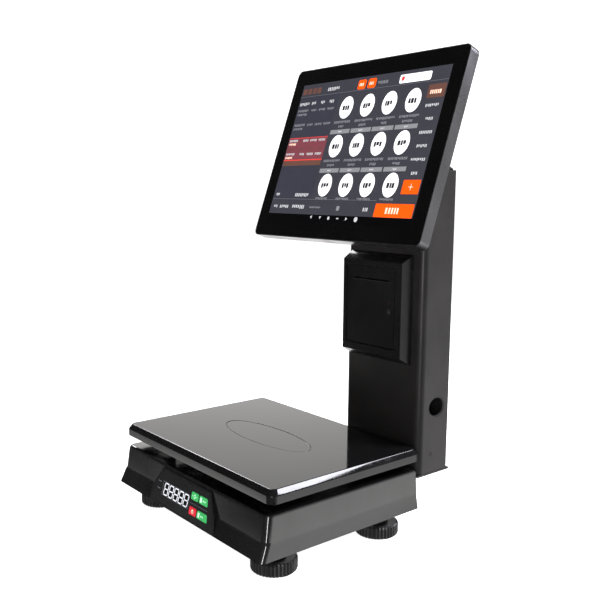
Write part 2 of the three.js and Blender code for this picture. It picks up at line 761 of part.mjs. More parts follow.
function platter() {
  const half = BASE_WIDTH / 2 + PLATTER_OVERHANG;
  const plan = (inset) => ({
    front: platterFront + inset,
    back: platterBack - inset,
    halfFront: half - inset,
    halfBack: half - inset,
    cornerFront: PLATTER_CORNER - inset / 2,
    cornerBack: PLATTER_CORNER - inset / 2,
  });
  const bottom = PLATTER_TOP - PLATTER_HEIGHT;
  const skin = loft([
    ring(plan(0), bottom),
    ring(plan(0), PLATTER_TOP - PLATTER_BEVEL_DROP),
    ring(plan(PLATTER_BEVEL), PLATTER_TOP),
  ]);
  const hollow = loft([
    ring(plan(PLATTER_WALL), bottom - SPILL),
    ring(plan(PLATTER_WALL), PLATTER_TOP - PLATTER_BEVEL_DROP - PLATTER_WALL / 3),
    ring(plan(PLATTER_BEVEL + PLATTER_WALL / 2), platterUnder),
  ]);
  const dish = new THREE.Shape();
  dish.absellipse(0, platterMiddle, DISH_WIDTH / 2, DISH_DEPTH / 2, 0, TURN);
  const dishSpan = [PLATTER_TOP - DISH_SINK, PLATTER_TOP + SPILL];
  return cut(skin, hollow, standing(dish, dishSpan, 24));
}

const riserX = [-CELL_LENGTH / 2, -cellEndX];
const postX = [cellEndX, CELL_LENGTH / 2];
const pads = [
  { name: "front_left", x: -spiderX, y: spiderY[0] },
  { name: "front_right", x: spiderX, y: spiderY[0] },
  { name: "back_left", x: -spiderX, y: spiderY[1] },
  { name: "back_right", x: spiderX, y: spiderY[1] },
];
add("load_cell_riser", block(riserX, cellSides, [plateHigh + REST_GAP, cellLow - REST_GAP]), STEEL);
add("load_cell", loadCell(), ALUMINIUM);
add("load_cell_post", block(postX, cellSides, [cellHigh + REST_GAP, spiderLow - REST_GAP]), ALUMINIUM);
add("platter_spider", platterSpider(), STEEL);
pads.forEach(({ name, x, y }) => {
  const foot = at(x, y, spiderHigh + REST_GAP);
  add(`platter_pad_${name}`, rod(PAD_RADIUS, foot, alongZ(platterUnder - REST_GAP - foot.z), 16), RUBBER);
});
add("platter", platter(), GLOSS_BLACK);

const scaleBoardX = -footBackX + STUD_RADIUS + SCALE_BOARD.fromStud;
add(
  "scale_board",
  block(
    [scaleBoardX, scaleBoardX + SCALE_BOARD.width],
    [cellRear + BOARD_MARGIN, cellRear + BOARD_MARGIN + SCALE_BOARD.depth],
    [cellLow, cellLow + BOARD_THICK],
  ),
  CIRCUIT,
);

// ---------------------------------------------------------------- levelling feet

function ridgedRing(inset, height) {
  const count = WHEEL_RIDGES * 2;
  return Array.from({ length: count }, (_, i) => {
    const radius = WHEEL_RADIUS - inset - (i % 2 ? WHEEL_RIDGE_DEPTH : 0);
    const angle = (TURN * i) / count;
    return at(radius * Math.cos(angle), radius * Math.sin(angle), height);
  });
}

function footWheel({ x, y }) {
  const wheel = loft([
    ridgedRing(WHEEL_BEVEL, 0),
    ridgedRing(0, WHEEL_BEVEL),
    ridgedRing(0, WHEEL_HEIGHT - WHEEL_BEVEL),
    ridgedRing(WHEEL_BEVEL, WHEEL_HEIGHT),
  ]);
  const hub = rod(WHEEL_HUB_RADIUS, at(0, 0, WHEEL_HEIGHT - SPILL), alongZ(WHEEL_HUB_HEIGHT + SPILL), 24);
  const socketFrom = at(0, 0, STUD_SEAT - REST_GAP);
  const socket = rod(STUD_RADIUS + REST_GAP, socketFrom, alongZ(WHEEL_HEIGHT + WHEEL_HUB_HEIGHT), 16);
  return cut(join(wheel, hub), socket).translate([x, y, 0]);
}

feet.forEach((foot) => {
  const studFrom = at(foot.x, foot.y, STUD_SEAT);
  add(`foot_wheel_${foot.name}`, footWheel(foot), FOOT_BLACK);
  const studLength = plateHigh + STUD_ABOVE - STUD_SEAT;
  add(`foot_stud_${foot.name}`, rod(STUD_RADIUS, studFrom, alongZ(studLength), 16), STEEL);
});

// ---------------------------------------------------------------- column

const pinY = COLUMN_BACK - HINGE_IN;
const pinZ = COLUMN_TOP - HINGE_DROP;

// The screen's own frame: x across, y back through it, z up its face, from the hinge pin.
const onScreen = new THREE.Matrix4().makeRotationX(-SCREEN_TILT).setPosition(0, pinY, pinZ);
const screenBack = -HINGE_OFFSET;
const screenFront = screenBack - SCREEN_DEPTH;

// Side view (Y, Z) of a point given behind the screen's back and up its slope.
function sidePoint(behind, up) {
  const point = at(0, screenBack + behind, up).applyMatrix4(onScreen);
  return [point.y, point.z];
}

// The column's side outline: its upper front leans back with the screen.
function columnSide() {
  const [lowY, lowZ] = sidePoint(SLANT_GAP, -HINGE_BELOW);
  const [highY, highZ] = sidePoint(SLANT_GAP, SLANT_STOP);
  const rise = (highZ - lowZ) / (highY - lowY);
  return outline([
    [COLUMN_FRONT, COLUMN_BOTTOM],
    [COLUMN_BACK, COLUMN_BOTTOM],
    [COLUMN_BACK, COLUMN_TOP],
    [pinY, COLUMN_TOP],
    [highY, highZ],
    [COLUMN_FRONT, lowZ + (COLUMN_FRONT - lowY) * rise],
  ]);
}

// The label bay's space, and the same with its walls.
const bay = {
  left: COLUMN_LEFT + HOOD_LEFT + HOOD_SIDE.left,
  right: COLUMN_RIGHT - HOOD_RIGHT - HOOD_SIDE.right,
  bottom: COLUMN_TOP - HOOD_DROP - HOOD_HEIGHT + HOOD_SIDE.bottom,
  top: COLUMN_TOP - HOOD_DROP - HOOD_SIDE.top,
  back: COLUMN_BACK - BAY_BEHIND,
};
const bayOuter = {
  left: bay.left - HOOD_WALL,
  right: bay.right + HOOD_WALL,
  bottom: bay.bottom - HOOD_WALL,
  top: bay.top + HOOD_WALL,
  back: bay.back + HOOD_WALL,
};

function columnShell() {
  const plan = (inset, back) => {
    const shape = new THREE.Shape();
    const left = COLUMN_LEFT + inset;
    const right = COLUMN_RIGHT - inset;
    const front = COLUMN_FRONT + inset;
    const radius = COLUMN_CORNER - inset;
    shape.moveTo(right, back);
    shape.lineTo(left, back);
    shape.absarc(left + radius, front + radius, radius, TURN / 2, (3 * TURN) / 4);
    shape.absarc(right - radius, front + radius, radius, -TURN / 4, 0);
    return shape;
  };
  const tube = cut(
    standing(plan(0, COLUMN_BACK), [COLUMN_BOTTOM, COLUMN_TOP], 8),
    standing(plan(COLUMN_WALL, COLUMN_BACK + SPILL), [COLUMN_BOTTOM - SPILL, COLUMN_TOP + SPILL], 8),
  );
  const whole = crosswise(columnSide(), [COLUMN_LEFT, COLUMN_RIGHT]);
  const rightWall = [COLUMN_RIGHT - COLUMN_WALL - SPILL, COLUMN_RIGHT + SPILL];
  const hole = new THREE.Shape();
  hole.absellipse(
    COLUMN_FRONT + CABLE_HOLE_BACK,
    COLUMN_BOTTOM + CABLE_HOLE_UP,
    CABLE_HOLE_DEPTH / 2,
    CABLE_HOLE_HEIGHT / 2,
    0,
    TURN,
  );
  const cableHole = crosswise(hole, rightWall, 16);
  const screwHole = rod(
    SIDE_SCREW_RADIUS + REST_GAP,
    at(rightWall[0], COLUMN_FRONT + SIDE_SCREW_BACK, COLUMN_BOTTOM + SIDE_SCREW_UP),
    alongX(rightWall[1] - rightWall[0]),
    12,
  );
  const printerOpening = block(
    [bayOuter.left - FIT_GAP, bayOuter.right + FIT_GAP],
    [COLUMN_FRONT - SPILL, COLUMN_FRONT + COLUMN_WALL + SPILL],
    [bayOuter.bottom - FIT_GAP, bayOuter.top + FIT_GAP],
  );
  return cut(tube.intersect(whole), cableHole, screwHole, printerOpening);
}

function footPlatePiece() {
  const depth = [COLUMN_FRONT, COLUMN_BACK + FOOT_PLATE_BEHIND];
  const under = block([COLUMN_LEFT, COLUMN_RIGHT], depth, footPlate);
  const arm = block(tongue, [BASE_BACK - TONGUE_IN, COLUMN_FRONT + SPILL], footPlate);
  return join(under, arm);
}

// A hat-shaped bracket between the base's bottom plate and the column's foot plate.
function supportBracket() {
  const low = plateHigh + REST_GAP;
  const high = footPlate[0] - REST_GAP;
  const front = BASE_BACK - TONGUE_IN;
  const back = BASE_BACK - BRACKET_FLANGE * 2;
  const shape = outline([
    [front - BRACKET_FLANGE, low],
    [front + BRACKET_THICK, low],
    [front + BRACKET_THICK, high - BRACKET_THICK],
    [back - BRACKET_THICK, high - BRACKET_THICK],
    [back - BRACKET_THICK, low],
    [back + BRACKET_FLANGE, low],
    [back + BRACKET_FLANGE, low + BRACKET_THICK],
    [back, low + BRACKET_THICK],
    [back, high],
    [front, high],
    [front, low + BRACKET_THICK],
    [front - BRACKET_FLANGE, low + BRACKET_THICK],
  ]);
  const reach = Math.min(tongue[1], footBackX - STUD_RADIUS - BRACKET_FLANGE);
  return crosswise(shape, [tongue[0], reach]);
}

const innerLeft = COLUMN_LEFT + COLUMN_WALL + REST_GAP;
const innerRight = COLUMN_RIGHT - COLUMN_WALL - REST_GAP;
const coverBack = COLUMN_BACK - REST_GAP * 3;
const coverFront = coverBack - BACK_COVER_THICK;

const coverScrews = [
  [innerLeft + COVER_SCREW_IN, COLUMN_BOTTOM + COVER_SCREW_UP],
  [innerRight - COVER_SCREW_IN, COLUMN_BOTTOM + COVER_SCREW_UP],
  [innerLeft + COVER_SCREW_IN, COLUMN_TOP - COVER_SCREW_UP * 2],
  [innerRight - COVER_SCREW_IN, COLUMN_TOP - COVER_SCREW_UP * 2],
];

function backCover() {
  const panel = block(
    [innerLeft, innerRight],
    [coverFront, coverBack],
    [COLUMN_BOTTOM + REST_GAP, COLUMN_TOP - REST_GAP],
  );
  const across = [coverFront - SPILL, coverBack + SPILL];
  const vents = Array.from({ length: VENT_COUNT }, (_, i) => {
    const low = COLUMN_BOTTOM + VENT_UP + i * VENT_PITCH;
    return block([COLUMN_MIDDLE - VENT_HALF, COLUMN_MIDDLE + VENT_HALF], across, [low, low + VENT_OPEN]);
  });
  const holes = coverScrews.map(([x, z]) =>
    rod(BACK_SCREW_RADIUS / 2 + REST_GAP, at(x, across[0], z), alongY(across[1] - across[0]), 12),
  );
  return cut(panel, ...vents, ...holes);
}

function coverScrew([x, z]) {
  const head = rod(BACK_SCREW_RADIUS, at(x, coverBack + REST_GAP, z), alongY(BACK_SCREW_HEAD), 12);
  const tip = coverBack + SPILL - BACK_SCREW_LENGTH;
  const shank = rod(BACK_SCREW_RADIUS / 2, at(x, tip, z), alongY(BACK_SCREW_LENGTH), 12);
  return join(head, shank);
}

// The cap's ridge stays below the path of the screen's back when the screen leans further.
function topCap() {
  const back = coverFront - REST_GAP;
  const shape = outline([
    [pinY + CAP_THICK, COLUMN_TOP + RUN_GAP * 2],
    [pinY + CAP_THICK, COLUMN_TOP + CAP_RISE / 2],
    [pinY + CAP_RISE, COLUMN_TOP + CAP_RISE],
    [back, COLUMN_TOP + CAP_THICK],
    [back, COLUMN_TOP - CAP_LIP],
    [back - CAP_THICK, COLUMN_TOP - CAP_LIP],
    [back - CAP_THICK, COLUMN_TOP + RUN_GAP * 2],
  ]);
  return crosswise(shape, [innerLeft, innerRight]);
}

function upperCover() {
  const aheadOfPin = pinY - (COLUMN_FRONT + COLUMN_CORNER);
  const aboveSink = (HINGE_OFFSET - SLANT_COVER_SINK) * Math.cos(SCREEN_TILT);
  const slantLow = (aboveSink - aheadOfPin) / Math.sin(SCREEN_TILT);
  const slantHigh = -BRACKET_DROP * 0.8;
  const shape = outline([
    sidePoint(SLANT_COVER_SINK, slantLow),
    sidePoint(SLANT_COVER_SINK + SLANT_COVER_THICK, slantLow),
    sidePoint(SLANT_COVER_SINK + SLANT_COVER_THICK, slantHigh),
    sidePoint(SLANT_COVER_SINK, slantHigh),
  ]);
  return crosswise(shape, [innerLeft, innerRight]);
}

function sideScrew() {
  const y = COLUMN_FRONT + SIDE_SCREW_BACK;
  const from = at(COLUMN_RIGHT - SIDE_SCREW_LENGTH, y, COLUMN_BOTTOM + SIDE_SCREW_UP);
  return rod(SIDE_SCREW_RADIUS, from, alongX(SIDE_SCREW_LENGTH), 12);
}

add("column_shell", columnShell(), COLUMN_PAINT);
add("column_foot_plate", footPlatePiece(), SATIN_BLACK);
add("column_support_bracket", supportBracket(), STEEL);
add("column_back_cover", backCover(), COLUMN_PAINT);
coverScrews.forEach((place, i) => add(`back_cover_screw_${i + 1}`, coverScrew(place), STEEL));
add("column_top_cap", topCap(), SATIN_BLACK);
add("column_upper_cover", upperCover(), SATIN_BLACK);
add("column_side_screw", sideScrew(), STEEL);
add(
  "power_supply",
  block(
    [COLUMN_MIDDLE - POWER_SUPPLY.half, COLUMN_MIDDLE + POWER_SUPPLY.half],
    [coverFront - REST_GAP - POWER_SUPPLY.depth, coverFront - REST_GAP],
    [COLUMN_BOTTOM + POWER_SUPPLY.up, bayOuter.bottom - POWER_SUPPLY.under],
  ),
  ALUMINIUM,
);

// ---------------------------------------------------------------- screen hinge

const fixedEarIn = EAR_HALF + EAR_THICK + EAR_SPACE;
const pinLength = 2 * (fixedEarIn + EAR_THICK + REST_GAP);

function pinHole(radius) {
  const from = at(COLUMN_MIDDLE - pinLength, pinY, pinZ);
  return rod(radius, from, alongX(2 * pinLength), 24);
}

function fixedBracket() {
  const back = coverFront - REST_GAP;
  const plate = block(
    [innerLeft, innerRight],
    [back - HINGE_PLATE, back],
    [pinZ - HINGE_PLATE_LOW, pinZ + HINGE_PLATE_HIGH],
  );
  const ear = new THREE.Shape();
  ear.moveTo(back, pinZ - HINGE_PLATE_LOW);
  ear.lineTo(back, pinZ + HINGE_PLATE_HIGH);
  ear.lineTo(pinY, pinZ + EAR_RADIUS);
  ear.absarc(pinY, pinZ, EAR_RADIUS, TURN / 4, TURN / 2 + TURN / 10);
  const ears = [-1, 1].map((side) => {
    const inner = COLUMN_MIDDLE + side * fixedEarIn;
    const outer = inner + side * EAR_THICK;
    return crosswise(ear, [Math.min(inner, outer), Math.max(inner, outer)], 10);
  });
  const screws = coverScrews.map(([x, z]) =>
    rod(BACK_SCREW_RADIUS, at(x, back - HINGE_PLATE - SPILL, z), alongY(HINGE_PLATE + 2 * SPILL), 12),
  );
  return cut(join(plate, ...ears), pinHole(HINGE_PIN_RADIUS + REST_GAP), ...screws);
}

// Built in the screen's own frame, with the pin's centre at its origin.
function screenBracket() {
  const near = screenBack + REST_GAP;
  const far = near + SCREEN_BRACKET_THICK;
  const half = EAR_HALF + EAR_THICK;
  const plate = block(
    [COLUMN_MIDDLE - half, COLUMN_MIDDLE + half],
    [near, far],
    [-BRACKET_DROP, 0],
  );
  const ear = new THREE.Shape();
  ear.moveTo(near, 0);
  ear.lineTo(near, -BRACKET_DROP * 0.6);
  ear.lineTo(far, -BRACKET_DROP * 0.6);
  ear.absarc(0, 0, EAR_RADIUS, -TURN / 12, TURN / 4);
  const ears = [-1, 1].map((side) => {
    const inner = COLUMN_MIDDLE + side * EAR_HALF;
    const outer = inner + side * EAR_THICK;
    return crosswise(ear, [Math.min(inner, outer), Math.max(inner, outer)], 10);
  });
  const bore = rod(
    HINGE_PIN_RADIUS + REST_GAP,
    at(COLUMN_MIDDLE - half - SPILL, 0, 0),
    alongX(2 * half + 2 * SPILL),
    24,
  );
  return cut(join(plate, ...ears), bore);
}

const hingePinFrom = at(COLUMN_MIDDLE - pinLength / 2, pinY, pinZ);
add("screen_hinge_pin", rod(HINGE_PIN_RADIUS, hingePinFrom, alongX(pinLength), 24), STEEL);
add("column_hinge_bracket", fixedBracket(), STEEL);

// ---------------------------------------------------------------- screen

const screen = new THREE.Group();
screen.applyMatrix4(onScreen);
scale.add(screen);

const halfScreen = SCREEN_WIDTH / 2;
const screenLow = -HINGE_BELOW - SCREEN_LIP;
const screenHigh = screenLow + SCREEN_HEIGHT;
const screenShape = (inset) =>
  roundedRectangle(
    -halfScreen + inset,
    halfScreen - inset,
    screenLow + inset,
    screenHigh - inset,
    SCREEN_CORNER - inset,
  );

function screenFrame() {
  return cut(
    frontwise(screenShape(0), [screenFront + REST_GAP, screenBack]),
    frontwise(screenShape(SCREEN_WALL), [screenFront - SPILL, screenBack + SPILL]),
    frontwise(screenShape(SCREEN_LIP), [screenFront - SPILL, screenFront + GLASS_THICK + REST_GAP]),
  );
}

const glassShape = screenShape(SCREEN_LIP + REST_GAP);
const lcdFront = screenFront + GLASS_THICK + REST_GAP;
const lcdHalf = halfScreen - LCD_SIDE + LCD_BORDER;
const lcdZ = [
  screenLow + SCREEN_LIP + LCD_RAISE - LCD_BORDER,
  screenHigh - SCREEN_LIP - LCD_BELOW + LCD_BORDER,
];
const boardFace = lcdFront + LCD_THICK + EAR_SPACE;

function screenBackCover() {
  const outer = screenBack - REST_GAP;
  const cover = frontwise(screenShape(SCREEN_WALL + REST_GAP), [outer - SCREEN_BACK_THICK, outer], 6);
  const vents = Array.from({ length: VENT_COUNT }, (_, i) => {
    const x = (i - (VENT_COUNT - 1) / 2) * VENT_PITCH - halfScreen / 2;
    const through = [outer - SCREEN_BACK_THICK - SPILL, outer + SPILL];
    return block([x, x + VENT_OPEN], through, [SCREEN_VENT.low, SCREEN_VENT.high]);
  });
  return cut(cover, ...vents);
}

add("screen_frame", screenFrame(), FRAME_GREY, screen);
add("screen_glass", frontwise(glassShape, [screenFront, screenFront + GLASS_THICK], 6), GLASS, screen);
add("lcd_panel", block([-lcdHalf, lcdHalf], [lcdFront, lcdFront + LCD_THICK], lcdZ), STEEL, screen);
add(
  "computer_board",
  block(
    [-COMPUTER_BOARD.half, COMPUTER_BOARD.half],
    [boardFace, boardFace + BOARD_THICK],
    [COMPUTER_BOARD.low, COMPUTER_BOARD.high],
  ),
  CIRCUIT,
  screen,
);
add("screen_back_cover", screenBackCover(), SATIN_BLACK, screen);
add("screen_hinge_bracket", screenBracket(), STEEL, screen);

// ---------------------------------------------------------------- printer housing and door

const rectangleAt = ({ left, right, bottom, top }, y, grow, growUp) => [
  at(left - grow, y, bottom - growUp),
  at(right + grow, y, bottom - growUp),
  at(right + grow, y, top + growUp),
  at(left - grow, y, top + growUp),
];

const hoodFront = COLUMN_FRONT - HOOD_DEPTH;
const hoodBack = COLUMN_FRONT - REST_GAP;
const hoodFace = {
  left: bay.left - HOOD_SIDE.left,
  right: bay.right + HOOD_SIDE.right,
  bottom: bay.bottom - HOOD_SIDE.bottom,
  top: bay.top + HOOD_SIDE.top,
};
const doorFront = hoodFront + RECESS_DEPTH;
const doorBack = doorFront + DOOR_THICK;
const doorLeft = bay.left + DOOR_GAP;
const doorRight = bay.right - DOOR_GAP;
const doorBottom = bay.bottom + DOOR_GAP;
const doorTop = bay.top - DOOR_GAP;
const doorAxisX = doorLeft + DOOR_AXIS_IN;
const doorAxisY = (doorFront + doorBack) / 2;
const lockX = bay.right - LOCK_IN;
const lockZ = bay.bottom + LOCK_UP;
const lightZ = lockZ + LIGHT_ABOVE;
const camY = [doorBack + CAM_BEHIND, doorBack + CAM_BEHIND + CAM_THICK];
const camReach = Math.hypot(CAM_LENGTH, CAM_WIDTH / 2);
const camRise = Math.sqrt(camReach ** 2 - LOCK_IN ** 2); // of its corner as it passes the bay's side
const platenY = doorBack + PLATEN_BEHIND;
const platenZ = bay.top - PLATEN_DROP;
const gearReach = (GEAR_MODULE * (PLATEN_TEETH + PINION_TEETH)) / 2 + GEAR_BACKLASH;
const motorY = platenY + gearReach;
const gearX = bayOuter.right + SIDE_SPACE;
const motorX = gearX + GEAR_THICK + SIDE_SPACE;

function doorPin(radius, past) {
  const from = at(doorAxisX, doorAxisY, doorBottom - past);
  return rod(radius, from, alongZ(doorTop - doorBottom + 2 * past), 12);
}

function printerHousing() {
  // drawn from back to front, so its faces point outwards
  const hood = loft([
    rectangleAt(hoodFace, hoodBack, HOOD_FLARE, HOOD_FLARE_UP),
    rectangleAt(hoodFace, hoodFront, 0, 0),
  ]);
  const box = block(
    [bayOuter.left, bayOuter.right],
    [doorBack, bayOuter.back],
    [bayOuter.bottom, bayOuter.top],
  );
  const postLength = motorX - bay.right - REST_GAP;
  const posts = [-MOTOR_POST, MOTOR_POST].map((up) =>
    rod(MOTOR_POST_RADIUS, at(bay.right, motorY, platenZ + up), alongX(postLength), 12),
  );
  const recess = block(
    [bay.left, hoodFace.right - RECESS_EDGE],
    [hoodFront - SPILL, doorFront],
    [bay.bottom, bay.top],
  );
  const inside = block([bay.left, bay.right], [doorFront - SPILL, bay.back], [bay.bottom, bay.top]);
  const camWindow = block(
    [bay.right - SPILL, lockX + camReach + RUN_GAP],
    [camY[0] - RUN_GAP, camY[1] + RUN_GAP],
    [lockZ - CAM_WIDTH / 2 - SIDE_SPACE, lockZ + camRise + SIDE_SPACE],
  );
  const shaftHole = rod(
    PLATEN_SHAFT_RADIUS + RUN_GAP,
    at(bay.right - SPILL, platenY, platenZ),
    alongX(HOOD_WALL + 2 * SPILL),
    16,
  );
  return cut(
    join(hood, box, ...posts),
    recess,
    inside,
    camWindow,
    shaftHole,
    doorPin(DOOR_PIN_RADIUS + REST_GAP, DOOR_PIN_REACH + REST_GAP),
  );
}

function printerDoor() {
  const panel = block([doorLeft, doorRight], [doorFront, doorBack], [doorBottom, doorTop]);
  const slot = block(
    [bay.left + SLOT.left, bay.right - SLOT.right],
    [doorFront - SPILL, doorBack + SPILL],
    [bay.top - SLOT.drop - SLOT.open / 2, bay.top - SLOT.drop + SLOT.open / 2],
  );
  const lockHole = rod(
    LOCK_RADIUS + RUN_GAP,
    at(lockX, doorFront - SPILL, lockZ),
    alongY(DOOR_THICK + 2 * SPILL),
  );
  const lightHole = rod(
    LIGHT_RADIUS + REST_GAP,
    at(lockX, doorFront - SPILL, lightZ),
    alongY(DOOR_THICK + 2 * SPILL),
    12,
  );
  return cut(panel, slot, lockHole, lightHole, doorPin(DOOR_PIN_RADIUS + RUN_GAP, SPILL));
}

function doorLock() {
  const barrelFrom = doorFront - LOCK_PROUD;
  const barrel = rod(LOCK_RADIUS, at(lockX, barrelFrom, lockZ), alongY(camY[1] - barrelFrom));
  const cam = block(
    [lockX - CAM_WIDTH / 2, lockX + CAM_WIDTH / 2],
    camY,
    [lockZ - CAM_WIDTH / 2, lockZ + CAM_LENGTH],
  );
  const keyway = block(
    [lockX - KEYWAY.wide / 2, lockX + KEYWAY.wide / 2],
    [barrelFrom - SPILL, barrelFrom + KEYWAY.deep],
    [lockZ - KEYWAY.high / 2, lockZ + KEYWAY.high / 2],
  );
  return cut(join(barrel, cam), keyway);
}

add("printer_housing", printerHousing(), SATIN_BLACK);
add("printer_door", printerDoor(), SATIN_BLACK);
add("door_hinge_pin", doorPin(DOOR_PIN_RADIUS, DOOR_PIN_REACH), STEEL);
add("door_lock", doorLock(), STEEL);
const lightFrom = at(lockX, doorFront + LIGHT_SINK, lightZ);
add("status_light", rod(LIGHT_RADIUS, lightFrom, alongY(DOOR_THICK - LIGHT_SINK), 12), OVERLAY);

// ---------------------------------------------------------------- label mechanism

const chassisX = [bay.left + CHASSIS_IN.left, bay.right - CHASSIS_IN.right];
const chassisTop = bay.top - CHASSIS_IN.top;

function printerChassis() {
  const across = [platenY - CHASSIS_FRONT, platenY + CHASSIS_BACK];
  const low = platenZ - CHASSIS_BELOW;
  const sides = [
    [chassisX[0], chassisX[0] + CHASSIS_THICK],
    [chassisX[1] - CHASSIS_THICK, chassisX[1]],
  ].map((span) => block(span, across, [low, chassisTop]));
  const roof = block(chassisX, across, [chassisTop - CHASSIS_THICK, chassisTop]);
  const shaft = rod(
    PLATEN_SHAFT_RADIUS + RUN_GAP,
    at(chassisX[0] - SPILL, platenY, platenZ),
    alongX(chassisX[1] - chassisX[0] + 2 * SPILL),
    16,
  );
  return cut(join(roof, ...sides), shaft);
}

function platenRoller() {
  const inset = CHASSIS_THICK + SIDE_SPACE;
  const from = at(chassisX[0] + inset, platenY, platenZ);
  const roller = rod(PLATEN_RADIUS, from, alongX(chassisX[1] - chassisX[0] - 2 * inset), 24);
  const shaftFrom = at(chassisX[0] - SIDE_SPACE, platenY, platenZ);
  return join(roller, rod(PLATEN_SHAFT_RADIUS, shaftFrom, alongX(gearX + GEAR_THICK - shaftFrom.x), 12));
}

// A spur gear about X with a tooth, or a gap, pointing along +Y.
function gear(teeth, centre, toothFirst, bore) {
  const pitch = (GEAR_MODULE * teeth) / 2;
  const tip = pitch + GEAR_MODULE * 0.8;
  const root = pitch - GEAR_MODULE;
  const step = TURN / teeth;
  const shape = new THREE.Shape();
  for (let i = 0; i < teeth; i++) {
    const middle = step * (i + (toothFirst ? 0 : 0.5));
    const corners = [
      [root, -0.3],
      [tip, -0.13],
      [tip, 0.13],
      [root, 0.3],
    ];
    corners.forEach(([radius, part], j) => {
      const angle = middle + part * step;
      const y = centre.y + radius * Math.cos(angle);
      const z = centre.z + radius * Math.sin(angle);
      if (i === 0 && j === 0) shape.moveTo(y, z);
      else shape.lineTo(y, z);
    });
  }
  const wheel = crosswise(shape, [centre.x, centre.x + GEAR_THICK]);
  if (!bore) return wheel;
  return cut(wheel, rod(bore, at(centre.x - SPILL, centre.y, centre.z), alongX(GEAR_THICK + 2 * SPILL), 12));
}

const platenCentre = at(gearX, platenY, platenZ);
const pinionCentre = at(gearX, motorY, platenZ);

function motorPinion() {
  const shaft = alongX(motorX + MOTOR_BEARING_DEPTH - SIDE_SPACE - gearX);
  return join(gear(PINION_TEETH, pinionCentre, false), rod(PINION_SHAFT_RADIUS, pinionCentre, shaft, 12));
}

function printerMotor() {
  const flange = block(
    [motorX, motorX + MOTOR_FLANGE_THICK],
    [motorY - MOTOR_RADIUS / 2, motorY + MOTOR_RADIUS / 2],
    [platenZ - MOTOR_FLANGE_HALF, platenZ + MOTOR_FLANGE_HALF],
  );
  const can = rod(MOTOR_RADIUS, at(motorX, motorY, platenZ), alongX(MOTOR_LENGTH));
  const bearingFrom = at(motorX - SPILL, motorY, platenZ);
  const bearing = rod(PINION_SHAFT_RADIUS + RUN_GAP, bearingFrom, alongX(MOTOR_BEARING_DEPTH + SPILL), 12);
  return cut(join(flange, can), bearing);
}

function printHead() {
  const from = platenY + PLATEN_RADIUS + RUN_GAP;
  return block(
    [chassisX[0] + CHASSIS_THICK + SIDE_SPACE, chassisX[1] - CHASSIS_THICK - SIDE_SPACE],
    [from, from + HEAD_THICK],
    [platenZ - PLATEN_RADIUS, chassisTop - CHASSIS_THICK - SIDE_SPACE],
  );
}

const rollY = (doorBack + bay.back) / 2;
const rollZ = bay.bottom + ROLL_UP;
const rollX = [bay.left + ROLL_IN.left, bay.right - ROLL_IN.right];

function labelRoll() {
  const radius = (bay.back - doorBack) / 2 - ROLL_SPACE;
  const width = rollX[1] - rollX[0];
  return cut(
    rod(radius, at(rollX[0], rollY, rollZ), alongX(width), 40),
    rod(ROLL_CORE, at(rollX[0] - SPILL, rollY, rollZ), alongX(width + 2 * SPILL), 24),
  );
}

const spindleFrom = at(bay.left + REST_GAP, rollY, rollZ);
const spindle = rod(SPINDLE_RADIUS, spindleFrom, alongX(bay.right - bay.left - 2 * REST_GAP), 16);
add("printer_chassis", printerChassis(), STEEL);
add("platen_roller", platenRoller(), RUBBER);
add("platen_gear", gear(PLATEN_TEETH, platenCentre, true, PLATEN_SHAFT_RADIUS + REST_GAP), NYLON);
add("motor_pinion", motorPinion(), NYLON);
add("printer_motor", printerMotor(), STEEL);
add("print_head", printHead(), ALUMINIUM);
add("roll_spindle", spindle, NYLON);
add("label_roll", labelRoll(), PAPER);

// ---------------------------------------------------------------- origin

// The origin is under the middle of the whole scale, on the surface it stands on.
scale.updateMatrixWorld(true);
const extent = new THREE.Box3().setFromObject(scale);
const centre = extent.getCenter(new THREE.Vector3());
scale.position.set(-centre.x, -centre.y, -extent.min.z);

export default scale;
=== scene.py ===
"""Looks of a counter scale with a weighing plate, a label printer and a touch screen.

Lengths are in millimetres unless a name says otherwise. The frame, the lights and the
camera are in metres.
"""

import json
import logging
import math
import random
from collections.abc import Iterable, Sequence
from dataclasses import dataclass, field
from enum import Enum
from functools import cache

import bmesh
import bpy
from mathutils import Matrix, Vector


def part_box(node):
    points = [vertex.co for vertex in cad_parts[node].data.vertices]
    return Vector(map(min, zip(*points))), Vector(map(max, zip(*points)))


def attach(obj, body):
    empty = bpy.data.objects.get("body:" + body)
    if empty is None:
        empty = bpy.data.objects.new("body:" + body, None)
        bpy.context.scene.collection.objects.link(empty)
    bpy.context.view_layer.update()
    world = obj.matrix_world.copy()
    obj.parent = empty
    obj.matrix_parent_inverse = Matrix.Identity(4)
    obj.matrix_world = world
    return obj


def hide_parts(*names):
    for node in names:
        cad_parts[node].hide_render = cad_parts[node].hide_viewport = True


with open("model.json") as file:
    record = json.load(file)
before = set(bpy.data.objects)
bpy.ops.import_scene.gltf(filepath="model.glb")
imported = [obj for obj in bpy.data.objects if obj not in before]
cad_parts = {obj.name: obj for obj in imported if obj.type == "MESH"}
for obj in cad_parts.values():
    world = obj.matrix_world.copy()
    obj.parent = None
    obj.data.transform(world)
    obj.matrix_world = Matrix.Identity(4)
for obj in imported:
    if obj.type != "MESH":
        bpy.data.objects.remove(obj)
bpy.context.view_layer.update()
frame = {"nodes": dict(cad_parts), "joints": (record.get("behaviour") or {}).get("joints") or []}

LOG = logging.getLogger("scale")
MM = 0.001
WELD_GAP = 0.002
FLAT_DEGREES = 0.4
EDGE_DEGREES = 28
EDGE_STEPS = 2
CREASE_RADIANS = 0.6

Colour = tuple[float, float, float]
Flat = tuple[float, float]
Point = tuple[float, float, float]


